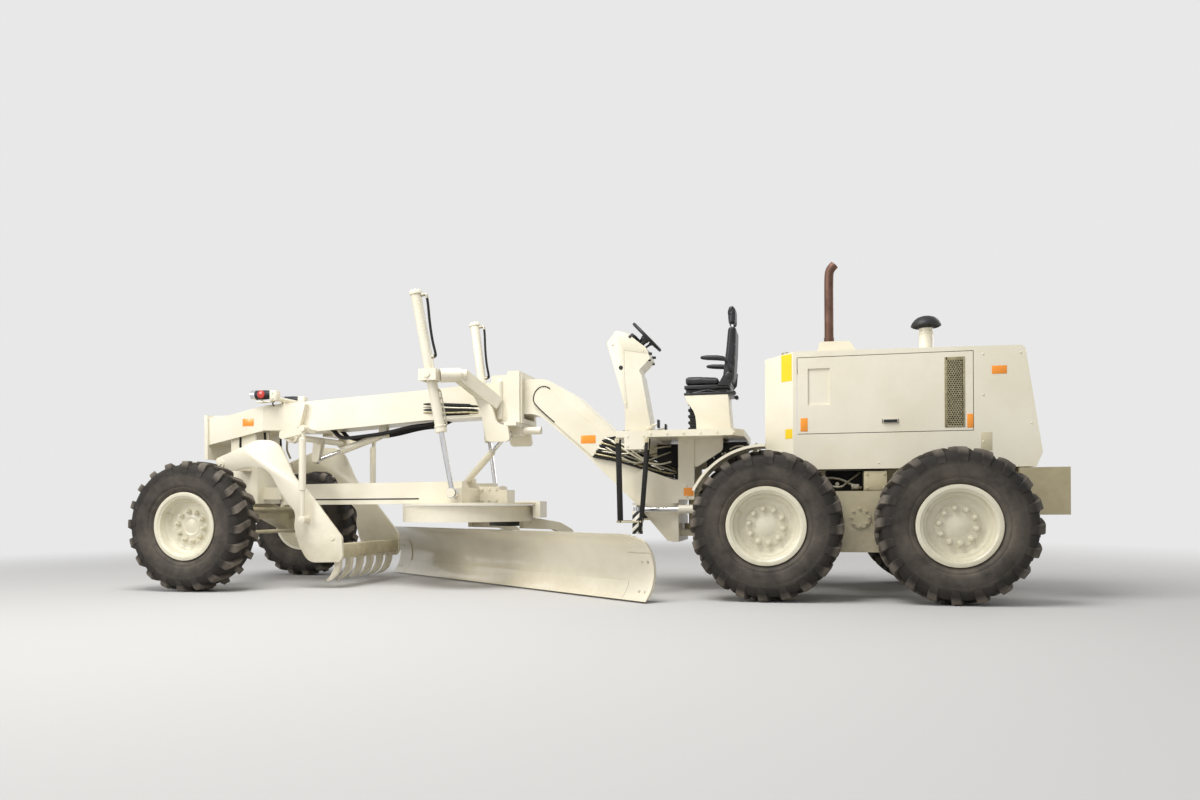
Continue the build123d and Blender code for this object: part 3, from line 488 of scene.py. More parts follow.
def bar_block(mesh, turn_to, sign, crown):
    """One tread bar: sections across the tread from the middle out and down over the shoulder."""
    sections = (
        # across, slant along, half width, top radius, foot radius
        (0.004, -0.036, 0.027, tyre_r - 0.001, crown - 0.010),
        (0.050, -0.020, 0.028, tyre_r, crown - 0.010),
        (0.100, 0.002, 0.031, tyre_r - 0.001, crown - 0.012),
        (0.142, 0.024, 0.036, tyre_r - 0.006, crown - 0.022),
        (0.158, 0.032, 0.038, tyre_r - 0.026, crown - 0.040),
        (0.170, 0.038, 0.038, 0.570, 0.552),
        (0.1748, 0.040, 0.034, 0.520, 0.520),
    )
    rows = []
    for across, slant, half_w, r_top, r_foot in sections:
        row = []
        for r, w in ((r_foot, half_w * 1.22), (r_top, half_w), (r_top, -half_w), (r_foot, -half_w * 1.22)):
            angle = turn_to + (slant + w) / tyre_r
            y = across if r == r_top or across < 0.14 else across - 0.014
            row.append(mesh.verts.new((r * sin(angle), sign * y, -r * cos(angle))))
        rows.append(row)
    for a, b in zip(rows, rows[1:]):
        for i in range(3):
            corners = (a[i], a[i + 1], b[i + 1], b[i])
            mesh.faces.new(corners if sign < 0 else corners[::-1])
    mesh.faces.new(rows[0] if sign > 0 else rows[0][::-1])


def wear_at(r, y, crown):
    """How much dust a place on the tyre holds: most on the bars' tops and beside the rim."""
    if r > crown + 0.004:
        return 0.85
    return 0.62 - 1.9 * (r - rim_r) if r < 0.52 and abs(y) > 0.12 else 0.12


def on_wheel(mesh, part, corner, word, s, material, sharp):
    """Sets a wheel's part on its axle, turned to face outward."""
    place = Matrix.Translation(middle(f"tyre_{corner}_{word}")) @ Matrix.Diagonal((1, s, 1, 1))
    bmesh.ops.transform(mesh, verts=mesh.verts, matrix=place)
    if s < 0:
        bmesh.ops.reverse_faces(mesh, faces=mesh.faces)
    node_name = f"{part}_{corner}_{word}"
    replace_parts(keep(f"{node_name}_detailed", mesh, material, f"wheel_{corner}_{word}", sharp), node_name)


shared_tyre = tyre_mesh()
for corner in ("front", "tandem_front", "tandem_rear"):
    for word, s in sides:
        on_wheel(shared_tyre.copy(), "tyre", corner, word, s, tread_rubber, 50)
shared_tyre.free()
print("six tyres with", 2 * bars, "bars each")

# %% [markdown]
# ## Rims
# The rims are rolled from thick strip: a gutter and lock ring at the edge, a dished disc pressed from
# plate, ten wheel nuts round a raised hub, and a valve. A lathe profile gives the round parts, and a
# short loop sets the nuts.

# %% Rims
nut_circle = 0.145


def rim_mesh(disc, hub_out, hub_in, steps=72):
    mesh = bmesh.new()
    upright = Matrix.Rotation(-pi / 2, 4, "X")
    edge = 0.148
    profile = [(0.001, disc + hub_out), (0.040, disc + hub_out - 0.003), (0.070, disc + hub_out - 0.012),
               (0.090, disc + 0.010), (0.096, disc + 0.007), (0.176, disc + 0.006), (0.184, disc + 0.001),
               (0.214, disc), (0.228, disc + 0.006), (0.246, disc + 0.034), (0.264, disc + 0.040),
               (0.272, disc + 0.052), (0.278, edge - 0.016), (0.292, edge - 0.010), (0.300, edge - 0.002),
               (0.318, edge), (0.333, edge - 0.003), (0.3345, edge - 0.012), (0.326, edge - 0.020),
               (0.322, edge - 0.034), (0.322, -edge + 0.034), (0.3345, -edge + 0.012), (0.330, -edge),
               (0.300, -edge + 0.004), (0.290, -edge + 0.030), (0.250, disc - 0.020), (0.120, disc - 0.022),
               (0.100, -hub_in), (0.001, -hub_in)]
    lathe(mesh, profile, upright, steps, close=False)
    for i in range(10):
        angle = 2 * pi * i / 10 + 0.16
        centre = Vector((nut_circle * sin(angle), disc + 0.006, nut_circle * cos(angle)))
        rod(mesh, centre, centre + Vector((0, 0.006, 0)), 0.027, 16)
        hexagon(mesh, centre + Vector((0, 0.006, 0)), (0, 1, 0), 0.040, 0.026)
        rod(mesh, centre, centre + Vector((0, 0.046, 0)), 0.011, 10)
    valve = Vector((0.226 * cos(0.5), disc + 0.010, 0.226 * sin(0.5)))
    rod(mesh, valve, valve + Vector((0.030, 0.045, 0.012)), 0.006, 10)
    return mesh


for corner, disc, hub_out, hub_in in (("front", 0.03, 0.016, 0.118), ("tandem_front", 0.04, 0.028, 0.188),
                                      ("tandem_rear", 0.04, 0.028, 0.188)):
    for word, s in sides:
        on_wheel(rim_mesh(disc, hub_out, hub_in), "rim", corner, word, s, rim_paint, 30)
print("six rims")

# %% [markdown]
# ## Sweeps, pipes and bolts
# Pipes and hoses are a circle drawn along a path. The path's bends are softened first, because a
# pipe is bent round a former and a hose never kinks. Bolts are hexagons with a round washer.

# %% Sweep helpers


def softened(points, rounds=3):
    """Cuts a path's corners a few times over, which turns them into smooth bends."""
    path = [Vector(p) for p in points]
    for _ in range(rounds):
        cut = [path[0]]
        for a, b in zip(path, path[1:]):
            cut += [a.lerp(b, 0.25), a.lerp(b, 0.75)]
        path = cut + [path[-1]]
    return path


def sweep(mesh, points, r, steps=12, rounds=3, hollow=0.0):
    """A round pipe along a path, closed at its ends or left hollow."""
    path = softened(points, rounds)
    across = (path[1] - path[0]).orthogonal().normalized()
    rings = []
    for i, point in enumerate(path):
        ahead_of = path[min(i + 1, len(path) - 1)] - path[max(i - 1, 0)]
        along = ahead_of.normalized()
        across = (across - across.dot(along) * along).normalized()
        other = along.cross(across)
        rings.append([mesh.verts.new(point + r * (cos(t) * across + sin(t) * other))
                      for t in (2 * pi * k / steps for k in range(steps))])
    for a, b in zip(rings, rings[1:]):
        for k in range(steps):
            mesh.faces.new((a[k], a[(k + 1) % steps], b[(k + 1) % steps], b[k]))
    mesh.faces.new(rings[0][::-1])
    if hollow:
        along = (path[-1] - path[-2]).normalized()
        lip = [mesh.verts.new(v.co + (path[-1] - v.co) * (1 - hollow / r)) for v in rings[-1]]
        deep = [mesh.verts.new(v.co - along * r * 1.6) for v in lip]
        for a, b in ((rings[-1], lip), (lip, deep)):
            for k in range(steps):
                mesh.faces.new((a[k], a[(k + 1) % steps], b[(k + 1) % steps], b[k]))
        mesh.faces.new(deep)
    else:
        mesh.faces.new(rings[-1])


def bolts(mesh, places, axis, across=0.024, height=0.010):
    """Bolt heads on washers at a list of places."""
    for place in places:
        place, along = Vector(place), Vector(axis).normalized()
        rod(mesh, place - along * 0.001, place + along * 0.003, across * 0.68, 16, 0.001)
        hexagon(mesh, place + along * 0.003, along, across, height)


def mirrored(point, side):
    return Vector((point[0], side * point[1], point[2]))


print("sweeps ready")

# %% [markdown]
# ## Exhaust and air intake
# The exhaust is a plain steel pipe, bent back at its top so that rain runs off. The intake is a cream
# post with a black mushroom cap that throws dust out before the filter. Both are turned or swept.

# %% Exhaust stack and intake
pipe_x, intake_x = 0.200, -0.672
mesh = bmesh.new()
sweep(mesh, [at(pipe_x, 0, 2.33), at(pipe_x, 0, 2.72), at(pipe_x, 0, 2.97), at(0.190, 0, 3.040), at(0.147, 0, 3.086)],
      0.042, 28, 3, 0.037)
lathe(mesh, [(0.044, 0.0), (0.062, 0.002), (0.062, 0.022), (0.047, 0.026), (0.046, 0.070), (0.043, 0.072)],
      Matrix.Translation(at(pipe_x, 0, 2.326)), 28, close=False)
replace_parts(keep("exhaust_pipe", mesh, exhaust_steel, "rear_frame"), "exhaust_stack")

post = [(0.001, 2.178), (0.080, 2.178), (0.080, 2.188), (0.064, 2.192), (0.062, 2.198), (0.062, 2.386),
        (0.067, 2.388), (0.067, 2.408), (0.062, 2.410), (0.062, 2.446), (0.001, 2.446)]
cap = [(0.050, 2.440), (0.066, 2.440), (0.070, 2.450), (0.104, 2.460), (0.124, 2.458), (0.133, 2.463),
       (0.134, 2.471), (0.124, 2.494), (0.104, 2.520), (0.076, 2.541), (0.040, 2.553), (0.001, 2.556)]
mesh = bmesh.new()
lathe(mesh, post, Matrix.Translation(at(intake_x, 0, 0)), 32, close=False)
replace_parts(keep("intake_post", mesh, body_paint, "rear_frame"), "air_precleaner")
mesh = bmesh.new()
lathe(mesh, cap, Matrix.Translation(at(intake_x, 0, 0)), 48, close=False)
for i in range(24):
    a = 2 * pi * i / 24
    rod(mesh, at(intake_x + 0.078 * cos(a), 0.078 * sin(a), 2.447),
        at(intake_x + 0.120 * cos(a), 0.120 * sin(a), 2.4565), 0.003, 6)
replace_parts(keep("intake_cap", mesh, black_plastic, "rear_frame"), "air_precleaner")
print("exhaust and intake")

# %% [markdown]
# ## Hood trim
# The side doors carry a screen of punched steel, a paddle latch in a black dish, and pieces of
# yellow and orange reflective film. A punched sheet has round holes in a staggered grid; here each
# hole is a hexagon in a hexagonal cell, which gives the same look with few faces.

# %% Screens, latches and film
hood_y, screen_x, screen_low, screen_high = 0.520, (-0.902, -0.758), 1.488, 2.074
cell, hole = 0.0118, 0.64


def punched_screen(side):
    mesh = bmesh.new()
    columns = int((screen_x[1] - screen_x[0]) / (cell * sqrt(3)))
    rows = int((screen_high - screen_low) / (cell * 1.5))
    for row in range(rows):
        for column in range(columns):
            x = screen_x[0] + cell * sqrt(3) * (column + 0.5 + (0.5 if row % 2 else 0))
            z = screen_low + cell * (1.5 * row + 1)
            if x > screen_x[1] - cell * 0.5:
                continue
            rim_of, hole_of, back_of = [], [], []
            for k in range(6):
                a = pi / 6 + pi / 3 * k
                for ring, size, y in ((rim_of, cell, 0.0030), (hole_of, cell * hole, 0.0030),
                                      (back_of, cell * hole, 0.0004)):
                    ring.append(mesh.verts.new(at(x + size * cos(a), side * (hood_y + y), z + size * sin(a))))
            for k in range(6):
                j = (k + 1) % 6
                mesh.faces.new((rim_of[k], rim_of[j], hole_of[j], hole_of[k]))
                mesh.faces.new((hole_of[k], hole_of[j], back_of[j], back_of[k]))
    bmesh.ops.remove_doubles(mesh, verts=mesh.verts, dist=0.0002)
    low, high = screen_x
    edge = 0.010
    for a, b in (((low - edge, screen_low - edge), (low + 0.002, screen_high + edge)),
                 ((high - 0.012, screen_low - edge), (high + edge, screen_high + edge)),
                 ((low, screen_low - edge), (high, screen_low + 0.004)),
                 ((low, screen_high - 0.014), (high, screen_high + edge))):
        block(mesh, side, (a[0], b[0]), (hood_y, hood_y + 0.0045), (a[1], b[1]), 0.001)
    bmesh.ops.recalc_face_normals(mesh, faces=mesh.faces)
    return mesh


def film(name, material, side, x, z, y=hood_y, body="rear_frame"):
    """A thin sheet on an upright face, with rounded edges: reflective film, or a dark sheet that paints shade."""
    mesh = bmesh.new()
    block(mesh, side, x, (y, y + 0.0014), z, 0.0006)
    return keep(name, mesh, material, body)


for word, s in sides:
    keep(f"punched_screen_{word}", punched_screen(s), screen_steel, f"hood_door_{word}")
    # A black sheet just behind the punched screen paints the shadow inside the door.
    film(f"screen_shadow_{word}", core_and_shade_black, s, (-0.900, -0.760), (1.490, 2.072), hood_y - 0.0012, f"hood_door_{word}")
    film(f"door_front_film_{word}", orange_film, s, (0.408, 0.470), (1.470, 1.590), hood_y, f"hood_door_{word}")
    film(f"rear_film_{word}", orange_film, s, (-1.25, -1.13), (1.925, 1.995))
    film(f"seam_film_{word}", orange_film, s, (-0.980, -0.930), (1.470, 1.590), hood_y, f"hood_door_{word}")
    film(f"lower_patch_{word}", low_dusty_shaded_paint, s, (-1.130, -1.040), (1.270, 1.430))
    mesh = bmesh.new()
    block(mesh, s, (-0.366, -0.229), (0.519, 0.5250), (1.528, 1.563), 0.001)
    block(mesh, s, (-0.356, -0.239), (0.520, 0.5390), (1.532, 1.558), 0.006)
    keep(f"door_latch_{word}", mesh, black_plastic, f"hood_door_{word}")
print("screens, latches and film")

# %% [markdown]
# ## Hood cap, corner films and seams
# The front corners of the hood are cut back, and the yellow film sits on that slanted face. A cream
# filler neck on top has a cap with finger grips, and round headed screws hold the sheets.

# %% Corner film, filler cap and screws
corner_a, corner_b = (0.535, 0.520), (0.790, 0.300)
corner_run = hypot(corner_b[0] - corner_a[0], corner_b[1] - corner_a[1])


def on_corner(along, z, out, side):
    """A point on the hood's slanted front corner, out from its face."""
    dx, dy = (corner_b[0] - corner_a[0]) / corner_run, (corner_b[1] - corner_a[1]) / corner_run
    return at(corner_a[0] + dx * along - dy * out, side * (corner_a[1] + dy * along + dx * out), z)


for word, s in sides:
    for label, (a0, a1), (z0, z1) in (("upper", (0.012, 0.135), (1.930, 2.172)),
                                      ("lower", (0.010, 0.092), (1.412, 1.498))):
        mesh = bmesh.new()
        corners = [[mesh.verts.new(on_corner(a, z, out, s)) for a, z in ((a0, z0), (a1, z0), (a1, z1), (a0, z1))]
                   for out in (0.0002, 0.0016)]
        mesh.faces.new(corners[1])
        for k in range(4):
            j = (k + 1) % 4
            mesh.faces.new((corners[0][k], corners[0][j], corners[1][j], corners[1][k]))
        bmesh.ops.recalc_face_normals(mesh, faces=mesh.faces)
        keep(f"corner_film_{label}_{word}", mesh, yellow_film, "rear_frame")
mesh = bmesh.new()
neck = Matrix.Translation(at(0.600, 0.150, 2.214))
lathe(mesh, [(0.001, 0.0), (0.036, 0.0), (0.040, 0.004), (0.040, 0.026), (0.034, 0.032), (0.001, 0.034)], neck,
      32, close=False)
for i in range(12):
    a = 2 * pi * i / 12
    rod(mesh, at(0.600 + 0.040 * cos(a), 0.150 + 0.040 * sin(a), 2.218),
        at(0.600 + 0.040 * cos(a), 0.150 + 0.040 * sin(a), 2.240), 0.004, 8)
keep("filler_cap", mesh, zinc, "rear_frame")
mesh = bmesh.new()
for s in (1, -1):
    for x, z in ((-1.06, 2.10), (-1.06, 1.75), (-1.06, 1.35), (-1.36, 2.10), (-1.44, 1.50), (0.515, 1.20),
                 (-0.2, 1.18), (-0.9, 1.18)):
        centre = at(x, s * hood_y, z)
        turned(mesh, [(0.009, 0.0), (0.008, 0.003), (0.004, 0.005), (0.0005, 0.0055)], centre,
               centre + Vector((0, s, 0)), 14)
keep("hood_screws", mesh, body_paint, "rear_frame")
print("hood trim")

# %% [markdown]
# ## Seat
# The seat is a suspension seat: a thin foam cushion and a slim back under black vinyl, on a folding
# black frame, over a cream pedestal whose front is cut away in a curve for the operator's heels. The
# pads are blown up a little with cloth simulation, so that they crown between their sewn edges.

# %% Pedestal, bellows, suspension and armrests
pedestal = ((1.552, 1.868), (1.532, 1.800), (1.500, 1.760), (1.470, 1.718), (1.452, 1.668), (1.444, 1.600),
            (1.440, 1.502), (1.110, 1.502), (1.140, 1.868))
mesh = bmesh.new()
plate_of(mesh, pedestal, -0.210, 0.210, 0.004)
for s in (1, -1):
    block(mesh, s, (1.100, 1.452), (0.205, 0.236), (1.499, 1.507), 0.002)
    bolts(mesh, [at(x, s * 0.224, 1.507) for x in (1.150, 1.275, 1.400)], (0, 0, 1), 0.020, 0.009)
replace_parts(keep("seat_pedestal", mesh, body_paint, "front_frame"), "seat_stand")

mesh = bmesh.new()
for i in range(11):
    z = 1.506 + 0.030 * i
    reach = 1.528 if i % 2 else 1.512
    if z < 1.80:
        slab(mesh, at(1.40, -0.165, z), at(reach, 0.165, z + 0.031), 0.010)
keep("pedestal_bellows", mesh, strap_rubber, "front_frame")

mesh = bmesh.new()
slab(mesh, at(1.100, -0.214, 1.869), at(1.560, 0.214, 1.893), 0.005)
slab(mesh, at(1.150, -0.180, 1.890), at(1.545, 0.180, 1.932), 0.008)
slab(mesh, at(1.120, -0.215, 1.928), at(1.556, 0.215, 1.962), 0.005)
for s in (1, -1):
    for a, b in (((1.18, 1.885), (1.50, 1.945)), ((1.50, 1.885), (1.18, 1.945))):
        rod(mesh, at(a[0], s * 0.196, a[1]), at(b[0], s * 0.196, b[1]), 0.009, 10)
    rod(mesh, at(1.085, s * 0.150, 1.880), at(1.085, s * 0.218, 1.880), 0.020, 16)
    rod(mesh, at(1.500, s * 0.205, 1.905), at(1.500, s * 0.240, 1.905), 0.008, 12)
slab(mesh, at(1.115, -0.200, 1.955), at(1.190, 0.200, 2.000), 0.008)
for s in (1, -1):
    plate_of(mesh, ((1.235, 1.955), (1.130, 1.945), (1.085, 2.000), (1.075, 2.120), (1.120, 2.150), (1.175, 2.060)),
             *sorted((s * 0.222, s * 0.236)), 0.003)
    turned(mesh, [(0.030, 0.0), (0.030, 0.012), (0.022, 0.016), (0.001, 0.017)], at(1.128, s * 0.236, 2.045),
           at(1.128, s * 0.300, 2.045), 20)
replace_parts(keep("seat_suspension", mesh, black_paint, "front_frame"), "seat_stand")

mesh = bmesh.new()
front = 1.392
for s in (1, -1):
    arm_path = [(1.140, 2.170, 0.020), (1.170, 2.196, 0.023), (1.230, 2.206, 0.025), (1.330, 2.212, 0.023),
                (1.380, 2.214, 0.016), (front, 2.214, 0.006)]
    last = None
    for x, z, h in arm_path:
        ring = [mesh.verts.new(at(x, s * 0.268 + 0.026 * cos(t) * (0.6 if x == front else 1), z + h * sin(t)))
                for t in (2 * pi * k / 14 for k in range(14))]
        if last:
            for k in range(14):
                mesh.faces.new((last[k], last[(k + 1) % 14], ring[(k + 1) % 14], ring[k]))
        else:
            mesh.faces.new(ring)
        last = ring
    mesh.faces.new(last)
    sweep(mesh, track(s, (1.110, 0.205, 2.080), (1.110, 0.268, 2.090), (1.145, 0.268, 2.180)), 0.012, 10, 2)
bmesh.ops.recalc_face_normals(mesh, faces=mesh.faces)
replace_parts(keep("armrests", mesh, black_plastic, "front_frame"), "seat_stand")
print("seat frame")

# %% [markdown]
# ## Seat pads
# Each pad starts as a rounded block a little smaller than it ends. The block is rebuilt in even
# 6 mm cells, filled with a gentle pressure as cloth for twenty frames, and held to a few
# millimetres of swelling. Sewn channels are pressed in afterwards, where the thread pulls the vinyl down.

# %% Seat pads


def settled(piece):
    """Replaces an object's mesh with the one its modifiers make."""
    graph = bpy.context.evaluated_depsgraph_get()
    made = bpy.data.meshes.new_from_object(piece.evaluated_get(graph))
    piece.modifiers.clear()
    old = piece.data
    piece.data = made
    bpy.data.meshes.remove(old)


def pad(name, rows, half_width, channels, swell, node_name):
    """A stuffed pad from its side outline of (x, z) points, blown up and sewn."""
    mesh = bmesh.new()
    plate_of(mesh, rows, -half_width, half_width, 0.020)
    piece = keep(name, mesh, seat_vinyl, "front_frame", 60)
    blocky = piece.modifiers.new("even_cells", "REMESH")
    blocky.mode = "VOXEL"
    blocky.voxel_size = 0.006
    settled(piece)
    start = [v.co.copy() for v in piece.data.vertices]
    cloth = piece.modifiers.new("filled", "CLOTH")
    cloth.settings.use_pressure = True
    cloth.settings.uniform_pressure_force = 4
    cloth.settings.effector_weights.gravity = 0
    for step in range(1, 21):
        bpy.context.scene.frame_set(step)
    settled(piece)
    bpy.context.scene.frame_set(1)
    for vert, first in zip(piece.data.vertices, start):
        move = vert.co - first
        if move.length > swell:
            vert.co = first + move.normalized() * swell
    finer = piece.modifiers.new("finer", "SUBSURF")
    finer.levels = 1
    settled(piece)
    data = piece.data
    normals = [v.normal.copy() for v in data.vertices]
    for vert, normal in zip(data.vertices, normals):
        local = vert.co - at(0, 0, 0)
        press = max(channel(local, normal) for channel in channels)
        vert.co -= normal * press
    smooth(data, 60)
    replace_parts(piece, node_name)
    return piece


def groove(distance, depth=0.006, width=0.007):
    """How far a seam pulls the vinyl in, at a distance from its thread."""
    return depth * max(0.0, 1 - (distance / width) ** 2) if abs(distance) < width else 0.0


cushion_side = ((1.548, 1.975), (1.552, 2.030), (1.530, 2.038), (1.400, 2.036), (1.225, 2.022), (1.222, 1.975))
cushion_channels = (
    lambda p, n: groove(abs(p.y) - 0.135) if n.z > 0.3 else 0.0,
    lambda p, n: groove(p.x - 1.445) if n.z > 0.3 and abs(p.y) < 0.135 else 0.0,
    lambda p, n: groove(p.x - 1.320) if n.z > 0.3 and abs(p.y) < 0.135 else 0.0,
)
pad("seat_cushion_pad", cushion_side, 0.222, cushion_channels, 0.010, "seat_cushion")
back_side = ((1.188, 2.000), (1.178, 2.080), (1.150, 2.300), (1.128, 2.520), (1.070, 2.520), (1.076, 2.300),
             (1.090, 2.080), (1.110, 2.000))
back_channels = (
    lambda p, n: groove(abs(p.y) - 0.125) if n.x > 0.3 else 0.0,
    lambda p, n: groove(p.z - 2.220) if n.x > 0.3 and abs(p.y) < 0.125 else 0.0,
    lambda p, n: groove(p.z - 2.370) if n.x > 0.3 and abs(p.y) < 0.125 else 0.0,
)
pad("seat_back_pad", back_side, 0.195, back_channels, 0.010, "seat_back")
head_side = ((1.132, 2.560), (1.142, 2.690), (1.132, 2.728), (1.096, 2.732), (1.078, 2.690), (1.078, 2.560))
pad("seat_head_pad", head_side, 0.110, (lambda p, n: groove(p.z - 2.645) if n.x > 0.3 else 0.0,), 0.008, "seat_back")
mesh = bmesh.new()
for s in (1, -1):
    rod(mesh, at(1.103, s * 0.055, 2.500), at(1.108, s * 0.055, 2.590), 0.008, 12)
keep("head_pad_posts", mesh, chrome, "front_frame")
print("seat pads")

# %% [markdown]
# ## Steering wheel and console
# The wheel is a moulded ring on three spokes that lies back toward the seat. Under it a folded
# gaiter hides the tilting column, with three gauges ahead of it and a row of short levers on each
# side. A second sheet is screwed over the console's front, which leaves a crease across its side.

# %% Wheel, column, levers and console cover
wheel_at = aim(at(1.962, 0, 2.478), at(1.962, 0, 2.478) + Vector((-0.72, 0, 0.69)))
ring_r, grip_r = 0.180, 0.0155
mesh = bmesh.new()
lathe(mesh, [(ring_r + grip_r * cos(pi * k / 6), 0.013 + grip_r * sin(pi * k / 6)) for k in range(12)], wheel_at, 64)
lathe(mesh, [(0.001, 0.030), (0.030, 0.029), (0.043, 0.020), (0.045, -0.018), (0.036, -0.040), (0.034, -0.054),
             (0.001, -0.054)], wheel_at, 28, close=False)
for t in (0.0, pi, -pi / 2):
    out = Vector((cos(t), sin(t), 0))
    spoke = ((0.030, 0.006), (0.110, 0.001), (ring_r, 0.013))
    sweep(mesh, [wheel_at @ (r * out + Vector((0, 0, z))) for r, z in spoke], 0.0105, 10, 2)
bmesh.ops.recalc_face_normals(mesh, faces=mesh.faces)
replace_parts(keep("steering_wheel_ring", mesh, black_plastic, "front_frame"), "steering_wheel")

mesh = bmesh.new()
folds = [(0.001, -0.050)]
for k in range(6):
    folds += [(0.038 + 0.003 * k, -0.052 - 0.011 * k), (0.030 + 0.003 * k, -0.0575 - 0.011 * k)]
lathe(mesh, folds, wheel_at, 28, close=False)
for y in (-0.085, 0.0, 0.085):
    foot = at(2.085, y, 2.466)
    turned(mesh, [(0.036, 0.0), (0.036, 0.034), (0.031, 0.040), (0.028, 0.034), (0.001, 0.033)], foot,
           foot + Vector((-0.62, 0, 0.78)), 24)
for s in (1, -1):
    for y in (0.082, 0.110, 0.138):
        rod(mesh, at(2.000, s * y, 2.395), at(1.946, s * y, 2.432), 0.005, 8)
        turned(mesh, [(0.001, -0.004), (0.008, 0.0), (0.012, 0.010), (0.011, 0.022), (0.006, 0.029),
                      (0.001, 0.030)], at(1.946, s * y, 2.432), at(1.892, s * y, 2.469), 14)
    for x, z, r in ((2.188, 2.170, 0.021), (2.096, 2.470, 0.014)):
        centre = at(x, s * 0.1535, z)
        turned(mesh, [(r, -0.004), (r, 0.003), (r * 0.75, 0.004), (r * 0.7, 0.0), (0.001, 0.0)], centre,
               centre + Vector((0, s, 0)), 20)
    rod(mesh, at(1.925, s * 0.118, 2.303), at(1.884, s * 0.118, 2.300), 0.013, 14)
    rod(mesh, at(1.925, s * 0.118, 2.240), at(1.896, s * 0.118, 2.234), 0.011, 14)
    lathe(mesh, [(0.040, 0.0), (0.034, 0.012), (0.038, 0.022), (0.030, 0.034), (0.033, 0.044), (0.022, 0.060),
                 (0.001, 0.062)], Matrix.Translation(at(2.165, s * 0.070, 1.500)), 20, close=False)
    block(mesh, s, (1.795, 1.812), (0.185, 0.275), (1.560, 1.640), 0.005)
keep("column_and_levers", mesh, black_plastic, "front_frame")

cover = ((2.320, 2.420), (2.238, 2.532), (2.140, 2.505), (2.050, 2.438), (1.936, 2.346), (1.922, 2.300), (2.024, 2.318),
         (2.156, 2.341), (2.150, 2.060), (2.122, 1.780), (2.150, 1.770), (2.176, 1.880))
mesh = bmesh.new()
for s in (1, -1):
    stiffener(mesh, s, cover, (0.1494, 0.1532), 0.001)
    bolts(mesh, [at(x, s * 0.1530, z) for x, z in ((2.270, 2.400), (1.965, 2.330), (2.138, 1.820))], (0, s, 0),
          0.012, 0.005)
    bolts(mesh, [at(x, s * 0.150, z) for x, z in ((1.930, 1.560), (2.125, 1.560))], (0, s, 0), 0.014, 0.006)
    sweep(mesh, track(s, (1.806, 0.230, 1.600), (1.870, 0.230, 1.590), (1.910, 0.150, 1.560)), 0.009, 10, 2)
keep("console_cover", mesh, body_paint, "front_frame")
print("wheel and console")

# %% [markdown]
# ## Deck and boarding steps
# A step hangs below each side of the deck on two flat rubber straps, so that it gives way when it
# meets a stone. Behind it hangs a plate with black and white safety stripes. The deck has grit
# panels underfoot, and bolt heads along its edge.

# %% Straps, step, striped plate and deck trim


def safety_stripes(name, light_hex, dark_hex, stripe_mm):
    """Slanting stripes of two colours across an upright plate."""
    material, tree, place = start_material(name)
    axes = add(tree, "ShaderNodeSeparateXYZ", links={"Vector": place})
    slant = add(tree, "ShaderNodeMath", {"operation": "ADD"}, {0: axes.outputs["X"], 1: axes.outputs["Z"]})
    count = add(tree, "ShaderNodeMath", {"operation": "MULTIPLY", 1: 500 / stripe_mm}, {0: slant.outputs[0]})
    saw = add(tree, "ShaderNodeMath", {"operation": "FRACT"}, {0: count.outputs[0]})
    band = add(tree, "ShaderNodeMath", {"operation": "GREATER_THAN", 1: 0.5}, {0: saw.outputs[0]})
    wear = add(tree, "ShaderNodeTexNoise", {"Scale": 30.0, "Detail": 6.0}, {"Vector": place})
    pale = ramp(tree, wear.outputs["Fac"], [(0.35, linear("#C9C2B0")), (0.6, linear(light_hex))])
    mixed = add(tree, "ShaderNodeMix", {"data_type": "RGBA", 7: linear(dark_hex)}, {0: band.outputs[0], 6: pale})
    shader = add(tree, "ShaderNodeBsdfPrincipled", {"Roughness": 0.4}, {"Base Color": mixed.outputs[2]})
    finish_material(tree, shader)
    return material


